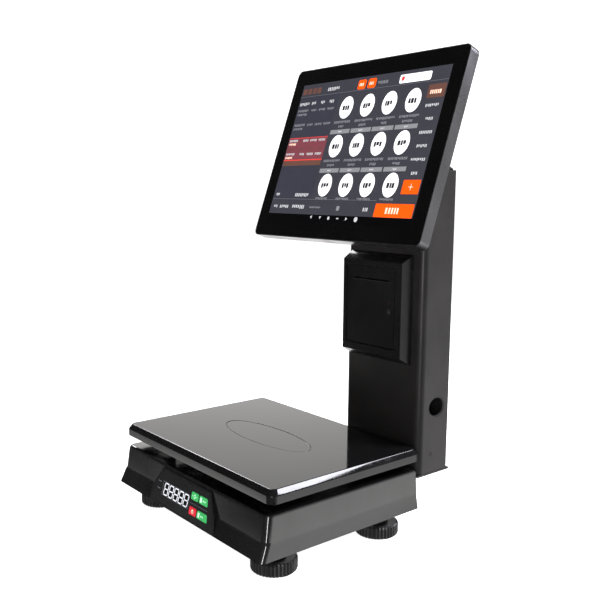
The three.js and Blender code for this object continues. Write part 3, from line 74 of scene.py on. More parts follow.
class Slot(Enum):
    """The record's material slots."""

    GLOSS_BLACK = "gloss_black"
    PLATTER_BLACK = "platter_black"
    DISPLAY_OVERLAY = "display_overlay"
    DIGIT_WINDOW = "digit_window"
    KEY_GREEN = "key_green"
    KEY_RED = "key_red"
    FOOT_BLACK = "foot_black"
    COLUMN_PAINT = "column_paint"
    SATIN_BLACK = "satin_black"
    DOOR_BLACK = "door_black"
    FRAME_GREY = "frame_grey"
    SCREEN_GLASS = "screen_glass"
    DISPLAY_MODULE = "display_module"
    STATUS_LIGHT = "status_light"
    LOCK_STEEL = "lock_steel"
    PLATED_STEEL = "plated_steel"
    CAST_ALUMINIUM = "cast_aluminium"
    CIRCUIT_BOARD = "circuit_board"
    SOFT_RUBBER = "soft_rubber"
    WHITE_NYLON = "white_nylon"
    LABEL_PAPER = "label_paper"


def shade(red: int, green: int, blue: int) -> Colour:
    """Turns an ordinary screen colour into a linear one.

    Args:
        red: Red, 0 to 255.
        green: Green, 0 to 255.
        blue: Blue, 0 to 255.

    Returns:
        The linear colour, 0 to 1.
    """
    parts = (part / 255 for part in (red, green, blue))
    linear = (p / 12.92 if p <= 0.04045 else ((p + 0.055) / 1.055) ** 2.4 for p in parts)
    return tuple(linear)


def scaled(colour: Colour, by: float) -> Colour:
    """A colour made lighter or darker."""
    return tuple(part * by for part in colour)


# ------------------------------------------------------------------ node trees


class Wire:
    """A value in a node tree. Arithmetic on it adds Math nodes."""

    def __init__(self, graph: "Graph", socket: bpy.types.NodeSocket) -> None:
        """Keeps the tree and the output socket."""
        self.graph = graph
        self.socket = socket

    def math(self, operation: str, *values: "Wire | float") -> "Wire":
        """A Math node on these values."""
        return self.graph.node("ShaderNodeMath", {"operation": operation}, dict(enumerate(values)))

    def __add__(self, other: "Wire | float") -> "Wire":
        """The sum."""
        return self.math("ADD", self, other)

    def __sub__(self, other: "Wire | float") -> "Wire":
        """The difference."""
        return self.math("SUBTRACT", self, other)

    def __rsub__(self, other: float) -> "Wire":
        """The difference from a number."""
        return self.math("SUBTRACT", other, self)

    def __mul__(self, other: "Wire | float") -> "Wire":
        """The product."""
        return self.math("MULTIPLY", self, other)

    def __pow__(self, other: "Wire | float") -> "Wire":
        """The power."""
        return self.math("POWER", self, other)

    __radd__ = __add__
    __rmul__ = __mul__

    def ease(self, low: float, high: float) -> "Wire":
        """A smooth step from 0 at low to 1 at high."""
        steps = {"interpolation_type": "SMOOTHSTEP"}
        return self.graph.node("ShaderNodeMapRange", steps, {0: self, 1: low, 2: high})


class Graph:
    """The nodes of one material, world or light."""

    def __init__(self, tree: bpy.types.NodeTree) -> None:
        """Starts from an empty tree."""
        self.tree = tree
        tree.nodes.clear()

    def node(
        self,
        kind: str,
        settings: dict[str, object],
        sockets: dict[int | str, object],
        output: int | str = 0,
    ) -> "Wire | None":
        """Adds a node.

        Args:
            kind: The node's type.
            settings: Its settings, made before its sockets are filled.
            sockets: A value or a Wire for each socket.
            output: Which output to hand on.

        Returns:
            The output, or None for a node that has none.
        """
        made = self.tree.nodes.new(kind)
        for name, value in settings.items():
            setattr(made, name, value)
        for key, value in sockets.items():
            if isinstance(value, Wire):
                self.tree.links.new(value.socket, made.inputs[key])
            elif isinstance(value, tuple) and made.inputs[key].type == "RGBA":
                made.inputs[key].default_value = (*value, 1.0)
            else:
                made.inputs[key].default_value = value
        return Wire(self, made.outputs[output]) if made.outputs else None

    def place(self, stretch: Point = (1.0, 1.0, 1.0)) -> Wire:
        """The object's own coordinates, stretched."""
        own = self.node("ShaderNodeTexCoord", {}, {}, "Object")
        return self.node("ShaderNodeVectorMath", {"operation": "MULTIPLY"}, {0: own, 1: stretch})

    def noise(self, scale: float, detail: float = 2.0, stretch: Point = (1.0, 1.0, 1.0)) -> Wire:
        """Cloudy noise, so many clouds to the metre."""
        sockets = {"Vector": self.place(stretch), "Scale": scale, "Detail": detail}
        return self.node("ShaderNodeTexNoise", {}, sockets)

    def mix(self, share: "Wire | float", first: "Wire | Colour", second: "Wire | Colour") -> Wire:
        """A blend of two colours."""
        sockets = {0: share, 6: first, 7: second}
        return self.node("ShaderNodeMix", {"data_type": "RGBA"}, sockets, 2)


# ------------------------------------------------------------------ finishes


@dataclass(frozen=True)
class Finish:
    """How a surface looks: colour, gloss and the texture of its skin.

    Attributes:
        slot: The record's slot that it stands for.
        colour: Its colour.
        patchy: The colour that it drifts towards in patches.
        smooth: Roughness where it is cleanest.
        rough: Roughness where it is handled or dusty.
        metallic: 1 for bare metal.
        specular: Strength of the reflection.
        coat: Clear lacquer over it.
        patches: Patches to the metre.
        grain: Grains to the metre.
        depth: Height of the grain.
        stretch: Stretch of the grain along the three axes.
    """

    slot: Slot
    colour: Colour
    patchy: Colour
    smooth: float = 0.3
    rough: float = 0.4
    metallic: float = 0.0
    specular: float = 0.5
    coat: float = 0.0
    patches: float = 18.0
    grain: float = 1500.0
    depth: float = 0.01
    stretch: Point = (1.0, 1.0, 1.0)

    def tone(self, graph: Graph) -> Wire:
        """The colour over the surface."""
        return graph.mix(graph.noise(self.patches, 4.0).ease(0.35, 0.7), self.colour, self.patchy)

    def relief(self, graph: Graph) -> Wire:
        """The height of the skin."""
        return graph.noise(self.grain, 2.0, self.stretch)

    def gloss(self, graph: Graph) -> Wire:
        """The roughness over the surface."""
        smears = graph.noise(self.patches * 2.3, 5.0, (1.0, 1.0, 0.4)).ease(0.4, 0.75)
        fine = graph.noise(self.grain * 0.4, 2.0, self.stretch) - 0.5
        return smears * (self.rough - self.smooth) + self.smooth + fine * (self.smooth * 0.3)

    def light(self, graph: Graph) -> dict[str, object]:
        """What its own light adds to the shader's sockets."""
        return {}

    @cache
    def material(self) -> bpy.types.Material:
        """Makes the finish's material once.

        Returns:
            The material.
        """
        made = bpy.data.materials.new(self.slot.value)
        made.use_nodes = True
        graph = Graph(made.node_tree)
        bump = {"Strength": 0.6, "Distance": self.depth * MM, "Height": self.relief(graph)}
        sockets = {
            "Base Color": self.tone(graph),
            "Roughness": self.gloss(graph),
            "Normal": graph.node("ShaderNodeBump", {}, bump),
            "Metallic": self.metallic,
            "Specular IOR Level": self.specular,
            "Coat Weight": self.coat,
            "Coat Roughness": 0.05,
            **self.light(graph),
        }
        shader = graph.node("ShaderNodeBsdfPrincipled", {}, sockets)
        graph.node("ShaderNodeOutputMaterial", {}, {"Surface": shader})
        return made


@dataclass(frozen=True)
class Lit(Finish):
    """A surface that gives its own light, such as a picture or a lit digit. On the keys, their
    marks and the panel's print that glow is painted light.
    """

    power: float = 1.0

    def light(self, graph: Graph) -> dict[str, object]:
        """Its glow, a little uneven."""
        uneven = graph.noise(60.0, 3.0).ease(0.2, 0.8)
        glow = graph.mix(uneven, self.colour, scaled(self.colour, 0.9))
        return {"Emission Color": glow, "Emission Strength": self.power}


@dataclass(frozen=True)
class Tracks(Finish):
    """A circuit board with tracks under its lacquer."""

    def tone(self, graph: Graph) -> Wire:
        """Tracks a little lighter than the board between them."""
        layout = {"Vector": graph.place(), "Scale": 160.0, "Color1": self.colour}
        layout |= {"Color2": self.patchy, "Mortar": scaled(self.patchy, 2.2), "Mortar Size": 0.04}
        return graph.node("ShaderNodeTexBrick", {"offset": 0.37}, layout)


@dataclass(frozen=True)
class Windings(Finish):
    """Paper wound on a roll, its turns showing at the ends."""

    def relief(self, graph: Graph) -> Wire:
        """Fine rings round the roll's own axis."""
        rings = {"Vector": graph.place((0.0, 1.0, 1.0)), "Scale": 900.0, "Distortion": 1.5}
        return graph.node("ShaderNodeTexWave", {"wave_type": "RINGS"}, rings)


def gloss_plastic(slot: Slot, level: float, smooth: float, rough: float, **more: object) -> Finish:
    """Moulded black plastic.

    Args:
        slot: The record's slot.
        level: How dark it is.
        smooth: Roughness where it is cleanest.
        rough: Roughness where it is handled.
        more: Other fields of the finish.

    Returns:
        The finish.
    """
    colour = (level, level, level * 1.06)
    return Finish(slot, colour, scaled(colour, 1.5), smooth, rough, **more)


PIANO_BLACK = gloss_plastic(
    Slot.GLOSS_BLACK, 0.008, 0.1, 0.2, specular=0.85, coat=0.3, grain=260.0, depth=0.004
)
MIRROR_BLACK = gloss_plastic(
    Slot.PLATTER_BLACK, 0.007, 0.05, 0.11, specular=0.45, grain=900.0, depth=0.0015,
    stretch=(1.0, 9.0, 1.0),
)
PANEL_FILM = gloss_plastic(Slot.DISPLAY_OVERLAY, 0.014, 0.16, 0.24, grain=1800.0, depth=0.003)
WINDOW_FILM = gloss_plastic(Slot.DIGIT_WINDOW, 0.006, 0.08, 0.14, grain=1200.0, depth=0.002)
FOOT_PLASTIC = gloss_plastic(Slot.FOOT_BLACK, 0.011, 0.34, 0.5, grain=1100.0, depth=0.03)
COLUMN_PAINT = Finish(
    Slot.COLUMN_PAINT, (0.0165, 0.0152, 0.0150), (0.022, 0.0202, 0.0198), 0.3, 0.4,
    specular=0.38, grain=2200.0, depth=0.008,
)
PRINTER_PLASTIC = gloss_plastic(
    Slot.SATIN_BLACK, 0.006, 0.22, 0.3, specular=0.3, grain=2200.0, depth=0.004
)
DOOR_PLASTIC = gloss_plastic(
    Slot.DOOR_BLACK, 0.006, 0.18, 0.26, specular=0.34, grain=2200.0, depth=0.004
)
FRAME_GREY = Finish(
    Slot.FRAME_GREY, (0.14, 0.139, 0.146), (0.165, 0.164, 0.172), 0.28, 0.38, 0.9,
    grain=2600.0, depth=0.006,
)
BLACK_GLASS = gloss_plastic(Slot.SCREEN_GLASS, 0.002, 0.03, 0.08, grain=300.0, depth=0.0004)
MODULE_GREY = Finish(
    Slot.DISPLAY_MODULE, (0.16, 0.16, 0.17), (0.1, 0.1, 0.11), 0.3, 0.5, 0.7, grain=700.0
)
LAMP_LENS = Finish(Slot.STATUS_LIGHT, (0.02, 0.004, 0.004), (0.05, 0.01, 0.01), 0.1, 0.2)
LOCK_STEEL = Finish(
    Slot.LOCK_STEEL, (0.34, 0.33, 0.33), (0.26, 0.25, 0.25), 0.14, 0.26, 1.0, grain=2400.0,
    depth=0.004, stretch=(1.0, 1.0, 0.1),
)
PLATED_STEEL = Finish(
    Slot.PLATED_STEEL, (0.5, 0.5, 0.51), (0.36, 0.36, 0.35), 0.24, 0.42, 1.0, grain=1500.0,
    depth=0.006, stretch=(0.08, 1.0, 1.0),
)
# Plated steel painted near black: painted shade for the spider under the weighing plate, where it
# shows through the gap.
SPIDER_SHADE_STEEL = Finish(
    Slot.PLATED_STEEL, (0.05, 0.05, 0.052), (0.035, 0.035, 0.035), 0.34, 0.5, 0.8, grain=1500.0
)
CAST_ALUMINIUM = Finish(
    Slot.CAST_ALUMINIUM, (0.5, 0.5, 0.5), (0.36, 0.36, 0.37), 0.42, 0.62, 1.0, grain=600.0,
    depth=0.08,
)
BOARD_GREEN = Tracks(
    Slot.CIRCUIT_BOARD, (0.008, 0.07, 0.03), (0.005, 0.045, 0.02), 0.2, 0.35, grain=900.0
)
SOFT_RUBBER = gloss_plastic(Slot.SOFT_RUBBER, 0.02, 0.7, 0.9, grain=1300.0, depth=0.04)
WHITE_NYLON = Finish(
    Slot.WHITE_NYLON, (0.72, 0.71, 0.66), (0.6, 0.58, 0.52), 0.35, 0.5, grain=1000.0
)
LABEL_PAPER = Windings(
    Slot.LABEL_PAPER, (0.8, 0.79, 0.76), (0.7, 0.69, 0.65), 0.7, 0.9, depth=0.05
)
# Painted light: the keys and the marks on them glow on their own, though no lamp lights them from
# inside.
KEY_GREEN = Lit(
    Slot.KEY_GREEN, shade(62, 178, 96), shade(40, 150, 78), 0.25, 0.4, grain=1300.0, power=0.62
)
KEY_RED = Lit(
    Slot.KEY_RED, shade(214, 36, 56), shade(190, 24, 40), 0.25, 0.4, grain=1300.0, power=0.72
)
KEY_MARK_GLOW = Lit(Slot.KEY_GREEN, shade(196, 236, 208), shade(170, 222, 188), 0.3, 0.5, power=0.7)
LIT_SEGMENT = Lit(Slot.DIGIT_WINDOW, shade(214, 216, 222), shade(180, 182, 190), 0.3, 0.5)
# Painted light: the print on the panel's film glows on its own, though it is only print.
PANEL_PRINT_GLOW = Lit(Slot.DISPLAY_OVERLAY, shade(96, 98, 106), shade(70, 72, 80), 0.4, 0.6, power=0.8)


class Ink(Enum):
    """The colours of the picture on the screen, each with the layer that it lies on."""

    GROUND = (shade(54, 54, 61), 1)
    LIST = (shade(50, 51, 60), 2)
    BROWN = (shade(94, 64, 56), 3)
    DULL_RED = (shade(112, 58, 66), 3)
    GREY = (shade(124, 124, 128), 3)
    ORANGE = (shade(255, 84, 12), 3)
    WHITE = (shade(250, 250, 252), 3)
    BLACK = (shade(2, 2, 3), 2)
    RED = (shade(204, 62, 58), 4)
    DIM = (shade(118, 118, 124), 4)
    TEXT = (shade(186, 186, 190), 4)
    CODE = (shade(36, 36, 40), 4)
    PALE = (shade(255, 214, 190), 4)

    @property
    def finish(self) -> Finish:
        """The ink as a lit surface behind glass."""
        return Lit(Slot.SCREEN_GLASS, self.value[0], scaled(self.value[0], 0.96), 0.06, 0.1)

    @property
    def layer(self) -> int:
        """Which layer it lies on."""
        return self.value[1]


# ------------------------------------------------------------------ shapes


def placing(origin: Point, across: Point, up: Point, out: Point) -> Matrix:
    """A frame to draw in: first number across, second up, third out of the face.

    Args:
        origin: Where it starts.
        across: Its first direction.
        up: Its second direction.
        out: Its third direction.

    Returns:
        The matrix from that frame, in millimetres, to the object's.
    """
    made = Matrix((across, up, out)).transposed().to_4x4()
    made.translation = Vector(origin)
    return made


def oval(x: float, y: float, half_x: float, half_y: float, steps: int = 40) -> list[Flat]:
    """Points round an ellipse."""
    turns = (math.tau * step / steps for step in range(steps))
    return [(x + half_x * math.cos(t), y + half_y * math.sin(t)) for t in turns]


def bar(left: float, low: float, right: float, high: float) -> list[Flat]:
    """The corners of a rectangle."""
    return [(left, low), (right, low), (right, high), (left, high)]


def rounded(
    half_x: float, half_y: float, radius: float, turn: int = 8, side: int = 1
) -> list[Flat]:
    """Points round a rectangle with rounded corners, centred on the origin.

    Args:
        half_x: Half its width.
        half_y: Half its depth.
        radius: Of its corners.
        turn: Steps in each corner.
        side: Steps along each side.

    Returns:
        The points, anticlockwise.
    """
    points = []
    middles = [(1, 1), (-1, 1), (-1, -1), (1, -1)]
    for quarter, (sign_x, sign_y) in enumerate(middles):
        x, y = sign_x * (half_x - radius), sign_y * (half_y - radius)
        arc = [(quarter + step / turn) * math.pi / 2 for step in range(turn + 1)]
        corner = [(x + radius * math.cos(a), y + radius * math.sin(a)) for a in arc]
        if points:
            points += between(points[-1], corner[0], side)
        points += corner
    return points + between(points[-1], points[0], side)


def between(start: Flat, end: Flat, steps: int) -> list[Flat]:
    """The points that cut a line into so many steps, without its ends."""
    first, last = Vector(start), Vector(end)
    return [tuple(first.lerp(last, step / steps)) for step in range(1, steps)]


def moved(outline: Iterable[Flat], x: float, y: float) -> list[Flat]:
    """An outline moved."""
    return [(a + x, b + y) for a, b in outline]


@cache
def creases() -> bpy.types.NodeTree:
    """The node group that smooths a mesh except over its sharp edges.

    Returns:
        The group.
    """
    tree = bpy.data.node_groups.new("creases", "GeometryNodeTree")
    for way in ("INPUT", "OUTPUT"):
        tree.interface.new_socket("Geometry", in_out=way, socket_type="NodeSocketGeometry")
    graph = Graph(tree)
    mesh = graph.node("NodeGroupInput", {}, {})
    angle = graph.node("GeometryNodeInputMeshEdgeAngle", {}, {})
    past = {0: angle, 1: CREASE_RADIANS}
    sharp = graph.node("FunctionNodeCompare", {"operation": "GREATER_THAN"}, past)
    soft = graph.node("GeometryNodeSetShadeSmooth", {"domain": "FACE"}, {0: mesh, 2: True})
    edged = {0: soft, 1: sharp, 2: False}
    done = graph.node("GeometryNodeSetShadeSmooth", {"domain": "EDGE"}, edged)
    graph.node("NodeGroupOutput", {}, {0: done})
    return tree


def dress(piece: bpy.types.Object, finish: Finish, edge: float) -> None:
    """Gives a mesh its finish and rounds its edges.

    Args:
        piece: The mesh object.
        finish: Its finish.
        edge: How wide its rounded edges are, or 0 for none.
    """
    if piece.material_slots:
        for place in piece.material_slots:
            place.material = finish.material()
    else:
        piece.data.materials.append(finish.material())
    if edge:
        piece.modifiers.new("weld", "WELD").merge_threshold = WELD_GAP * MM
        flat = piece.modifiers.new("flat faces", "DECIMATE")
        flat.decimate_type = "DISSOLVE"
        flat.angle_limit = math.radians(FLAT_DEGREES)
        soft = piece.modifiers.new("soft edges", "BEVEL")
        soft.width = edge * MM
        soft.segments = EDGE_STEPS
        soft.limit_method = "ANGLE"
        soft.angle_limit = math.radians(EDGE_DEGREES)
    piece.modifiers.new("creases", "NODES").node_group = creases()
    even = piece.modifiers.new("even shading", "WEIGHTED_NORMAL")
    even.weight = 100
    even.keep_sharp = True


def dress_nodes(finish: Finish, edge: float, *names: str) -> None:
    """Gives the finish to nodes of the frame, which keep their shape.

    Args:
        finish: Their finish.
        edge: How wide their rounded edges are.
        names: The nodes.
    """
    for name in names:
        dress(frame["nodes"][name], finish, edge)
        LOG.info("%s in %s", name, finish.slot.value)


class Form:
    """A mesh drawn in its own frame."""

    def __init__(self, place: Matrix) -> None:
        """Starts an empty mesh in that frame."""
        self.place = place
        self.mesh = bmesh.new()

    def ring(self, points: Iterable[Point]) -> list[bmesh.types.BMVert]:
        """Adds the points as vertices."""
        return [self.mesh.verts.new(self.place @ Vector(point) * MM) for point in points]

    def stack(self, rings: Sequence[Iterable[Point]], endless: bool = False) -> "Form":
        """Joins rings with the same number of points into a closed body.

        Args:
            rings: The rings, in order.
            endless: Whether the last ring joins the first one, as in a washer.

        Returns:
            The form.
        """
        made = [self.ring(ring) for ring in rings]
        pairs = list(zip(made, made[1:] + made[:1] if endless else made[1:]))
        for lower, upper in pairs:
            for one in range(len(lower)):
                two = (one + 1) % len(lower)
                self.mesh.faces.new((lower[one], lower[two], upper[two], upper[one]))
        if not endless:
            self.mesh.faces.new(reversed(made[0]))
            self.mesh.faces.new(made[-1])
        return self

    def prism(self, outline: Sequence[Flat], low: float, high: float) -> "Form":
        """A plate of that outline from one height to another."""
        return self.stack([[(x, y, z) for x, y in outline] for z in (low, high)])

    def turned(self, x: float, y: float, profile: Sequence[Flat], steps: int = 32) -> "Form":
        """A body turned round the frame's third axis.

        Args:
            x: Centre across.
            y: Centre up.
            profile: Radius and height, from one end to the other.
            steps: Steps round it.

        Returns:
            The form.
        """
        return self.stack([[(*p, z) for p in oval(x, y, r, r, steps)] for r, z in profile])

    def washer(
        self, inner: Sequence[Flat], outer: Sequence[Flat], low: float, high: float
    ) -> "Form":
        """A flat ring between two outlines with the same number of points."""
        order = [(outer, low), (outer, high), (inner, high), (inner, low)]
        return self.stack([[(x, y, z) for x, y in line] for line, z in order], endless=True)

    def piece(
        self, name: str, body: str, finish: Finish, edge: float = 0.0, replaces: Sequence[str] = ()
    ) -> bpy.types.Object:
        """Makes the piece.

        Args:
            name: Its name.
            body: The body that it moves with.
            finish: Its finish.
            edge: How wide its rounded edges are.
            replaces: The nodes that it stands for.

        Returns:
            The piece.
        """
        bmesh.ops.recalc_face_normals(self.mesh, faces=self.mesh.faces)
        data = bpy.data.meshes.new(name)
        self.mesh.to_mesh(data)
        self.mesh.free()
        made = bpy.data.objects.new(name, data)
        bpy.context.scene.collection.objects.link(made)
        dress(made, finish, edge)
        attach(made, body)
        if replaces:
            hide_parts(*replaces)
        LOG.info("%s on %s: %d faces", name, body, len(data.polygons))
        return made


def words(
    left: float, low: float, width: float, high: float, bold: float, chance: random.Random
) -> list[list[Flat]]:
    """A row of blank strokes that stands for a word.

    Args:
        left: Where it starts.
        low: Its lower edge.
        width: Its whole width.
        high: Its height.
        bold: How much of it the strokes fill, 0 to 1.
        chance: Where the widths come from.

    Returns:
        The strokes' outlines.
    """
    strokes = []
    x = left
    while x < left + width - high * 0.3:
        cell = high * chance.uniform(0.5, 0.85)
        wide = min(cell * bold, left + width - x)
        top = low + high * chance.choice((0.75, 1.0, 1.0))
        strokes.append(bar(x, low, x + wide, top))
        x += cell
    return strokes


# ------------------------------------------------------------------ sub-assemblies


@dataclass
class Base:
    """The housing under the weighing plate, with its feet and load cell."""

    edge: float = 0.7
    corners: tuple[str, ...] = ("front_left", "front_right", "back_left", "back_right")

    def build(self) -> None:
        """Dresses the housing, the feet and what is inside."""
        dress_nodes(PIANO_BLACK, self.edge, "base_housing")
        dress_nodes(PLATED_STEEL, 0.3, "base_bottom_plate")
        # The spider's dark steel is painted shade under the plate.
        dress_nodes(SPIDER_SHADE_STEEL, 0.3, "platter_spider")
        dress_nodes(CAST_ALUMINIUM, 0.4, "load_cell", "load_cell_riser", "load_cell_post")
        dress_nodes(BOARD_GREEN, 0.0, "scale_board")
        for corner in self.corners:
            dress_nodes(SOFT_RUBBER, 0.3, f"platter_pad_{corner}")
            dress_nodes(PLATED_STEEL, 0.2, f"foot_stud_{corner}")
            dress_nodes(FOOT_PLASTIC, 0.3, f"foot_wheel_{corner}")


@dataclass
class Platter:
    """The weighing plate: one lacquered tray with a shallow oval dish."""

    corner: float = 10.0
    wall: float = 2.5
    bevel: float = 4.6
    drop: float = 6.6
    dish: Flat = (88.0, 31.0)
    sink: float = 0.3
    groove: float = 0.95
    turn: int = 10
    side: int = 14

    def build(self) -> None:
        """Draws the tray from its underside, over the rim, into the dish."""
        low, high = (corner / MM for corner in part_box("platter"))
        half_x, half_y = (high.x - low.x) / 2, (high.y - low.y) / 2
        top, foot = high.z, low.z
        bend = top - self.drop
        section = [
            (self.bevel + self.wall / 2, top - self.wall),
            (self.wall, bend - self.wall / 3),
            (self.wall, foot + 0.5),
            (self.wall - 0.4, foot),
            (0.5, foot),
            (0.1, foot + 0.2),
            (0.0, foot + 0.6),
            (0.0, bend - 0.8),
            (0.15, bend - 0.1),
            (0.6, bend + 0.8),
            (self.bevel - 0.6, top - 0.85),
            (self.bevel - 0.15, top - 0.35),
            (self.bevel + 0.4, top - 0.08),
            (self.bevel + 1.2, top),
        ]
        rings = []
        for inset, height in section:
            plan = rounded(
                half_x - inset, half_y - inset, self.corner - inset / 2, self.turn, self.side
            )
            rings.append([(x, y, height) for x, y in plan])
        turns = [math.atan2(y * half_x, x * half_y) for x, y, _ in rings[-1]]
        slope = [(0.9, 0.0), (0.6, 0.1), (0.2, self.groove), (-0.2, self.groove)]
        slope += [(-0.7, self.sink + 0.06), (-1.1, self.sink)]
        for out, down in slope:
            a, b = self.dish[0] + out, self.dish[1] + out
            rings.append([(a * math.cos(t), b * math.sin(t), top - down) for t in turns])
        middle = ((low.x + high.x) / 2, (low.y + high.y) / 2, 0)
        place = placing(middle, (1, 0, 0), (0, 1, 0), (0, 0, 1))
        Form(place).stack(rings).piece("platter_tray", "platter", MIRROR_BLACK, 0, ["platter"])


@dataclass
class DisplayPanel:
    """The slanted panel on the base's front: digits, keys and the print on the film."""

    origin: Point = (-3.5, -178.443, 32.0)
    lean: Flat = (0.20967, 0.97777)
    window: tuple[float, float, float, float] = (-50.5, 14.3, 15.5, 33.3)
    digit: Flat = (9.2, 15.6)
    first: float = -46.6
    pitch: float = 12.3
    low: float = 16.0
    stroke: float = 1.5
    slant: float = 0.12
    places: int = 5
    glass: float = 0.04
    lit: float = 0.12
    print_high: float = 0.05
    border: Flat = (0.2, 0.75)
    proud: float = 0.5
    mark_high: float = 0.12

    def __post_init__(self) -> None:
        """Works out the panel's own frame."""
        back, rise = self.lean
        self.place = placing(self.origin, (1, 0, 0), (0, back, rise), (0, -rise, back))

    def segments(self, left: float) -> list[list[Flat]]:
        """The seven strokes of one digit.

        Args:
            left: Where the digit starts.

        Returns:
            Their outlines, leaning with the digit.
        """
        wide, high = self.digit
        half, gap = self.stroke / 2, 0.3
        made = []
        for level in (0.0, high / 2, high):
            a, b = gap, wide - gap
            made.append([(a, level), (a + half, level - half), (b - half, level - half)])
            made[-1] += [(b, level), (b - half, level + half), (a + half, level + half)]
        for x in (0.0, wide):
            for base in (0.0, high / 2):
                a, b = base + gap, base + high / 2 - gap
                made.append([(x, a), (x + half, a + half), (x + half, b - half)])
                made[-1] += [(x, b), (x - half, b - half), (x - half, a + half)]
        lean = self.slant
        return [[(left + x + y * lean, self.low + y) for x, y in line] for line in made]

    def build(self) -> None:
        """Builds the digits, the print and the marks on the keys."""
        dress_nodes(PANEL_FILM, 0.15, "display_overlay")
        dress_nodes(WINDOW_FILM, 0.0, "digit_display")
        dress_nodes(BOARD_GREEN, 0.0, "display_board")
        dress_nodes(KEY_GREEN, 0.3, "key_zero", "key_tare", "key_total")
        dress_nodes(KEY_RED, 0.3, "key_power")
        glass = Form(self.place).prism(bar(*self.window), -0.1, self.glass)
        glass.piece("digit_glass", "base", WINDOW_FILM)
        digits = Form(self.place)
        for number in range(self.places):
            for line in self.segments(self.first + number * self.pitch):
                digits.prism(line, self.glass, self.lit)
        digits.piece("lit_digits", "base", LIT_SEGMENT)
        left, low, right, high = self.window
        lines = Form(self.place)
        outer, inner = (bar(left + i, low + i, right - i, high - i) for i in self.border)
        lines.washer(inner, outer, self.glass, self.glass + self.print_high)
        for up in (20.5, 29.8):
            lines.prism(bar(-61.0, up, -56.2, up + 1.1), 0.0, self.print_high)
            lines.prism(bar(-63.4, up, -62.0, up + 1.1), 0.0, self.print_high)
        lines.prism(bar(18.6, 24.6, 58.0, 24.95), 0.0, self.print_high)
        lines.piece("panel_print_glow", "base", PANEL_PRINT_GLOW)
        # A thin light grey strip along the panel's left edge: a painted highlight on the edge of
        # the film.
        rim = Form(self.place)
        rim.prism([(-74.9, 22.4), (-74.1, 22.4), (-58.9, 46.4), (-59.7, 46.4)], 0.0, 0.35)
        rim.piece("panel_edge_highlight", "base", FRAME_GREY, 0.1)
        self.key_marks()

    def key_marks(self) -> None:
        """The raised marks on the keys, each riding on its key."""
        face, top = self.proud, self.proud + self.mark_high
        inner, outer = oval(27, 34.4, 1.3, 2.0), oval(27, 34.4, 2.0, 2.8)
        zero = Form(self.place).washer(inner, outer, face, top)
        zero.prism(bar(21.4, 34.1, 23.6, 34.7), face, top)
        zero.prism(bar(30.4, 34.1, 32.6, 34.7), face, top)
        zero.piece("key_zero_mark", "key_zero", KEY_MARK_GLOW)
        power = Form(self.place)
        power.washer(oval(27, 14.9, 1.6, 1.6), oval(27, 14.9, 2.3, 2.3), face, top)
        power.prism(bar(26.6, 15.4, 27.4, 18.4), face, top)
        power.piece("key_power_mark", "key_power", KEY_MARK_GLOW)
        for name, low in (("key_tare", 29.4), ("key_total", 10.2)):
            mark = Form(self.place).prism(bar(39.4, low + 1.9, 43.6, low + 7.9), face, top)
            for x in (46.8, 50.4):
                mark.turned(x, low + 4.9, [(1.1, face), (0.8, top)], 20)
            mark.piece(f"{name}_mark", name, KEY_MARK_GLOW)


@dataclass
class Column:
    """The upright behind the weighing plate, with its covers and screws."""

    hole: tuple[float, float, float, float] = (122.557, 165.5, 16.25, 14.0)
    side: float = 168.0
    gap: float = 0.1
    lip: float = 1.6
    sunk: Flat = (-3.0, -0.4)

    def build(self) -> None:
        """Dresses the column and adds the grommet in its cable hole."""
        dress_nodes(COLUMN_PAINT, 0.5, "column_shell", "column_foot_plate", "column_top_cap")
        dress_nodes(COLUMN_PAINT, 0.4, "column_upper_cover", "column_back_cover")
        dress_nodes(PLATED_STEEL, 0.3, "column_support_bracket", "column_hinge_bracket")
        dress_nodes(PLATED_STEEL, 0.2, "screen_hinge_pin")
        dress_nodes(MODULE_GREY, 0.4, "power_supply")
        screws = [f"back_cover_screw_{number}" for number in range(1, 5)]
        dress_nodes(PLATED_STEEL, 0.15, *screws)
        dress_nodes(FOOT_PLASTIC, 0.15, "column_side_screw")
        y, z, half_y, half_z = self.hole
        place = placing((self.side, 0, 0), (0, 1, 0), (0, 0, 1), (1, 0, 0))
        grommet = Form(place)
        inner, outer = (oval(y, z, half_y - i, half_z - i, 64) for i in (self.lip, self.gap))
        grommet.washer(inner, outer, *self.sunk)
        grommet.piece("cable_grommet", "base", SOFT_RUBBER, 0.3)


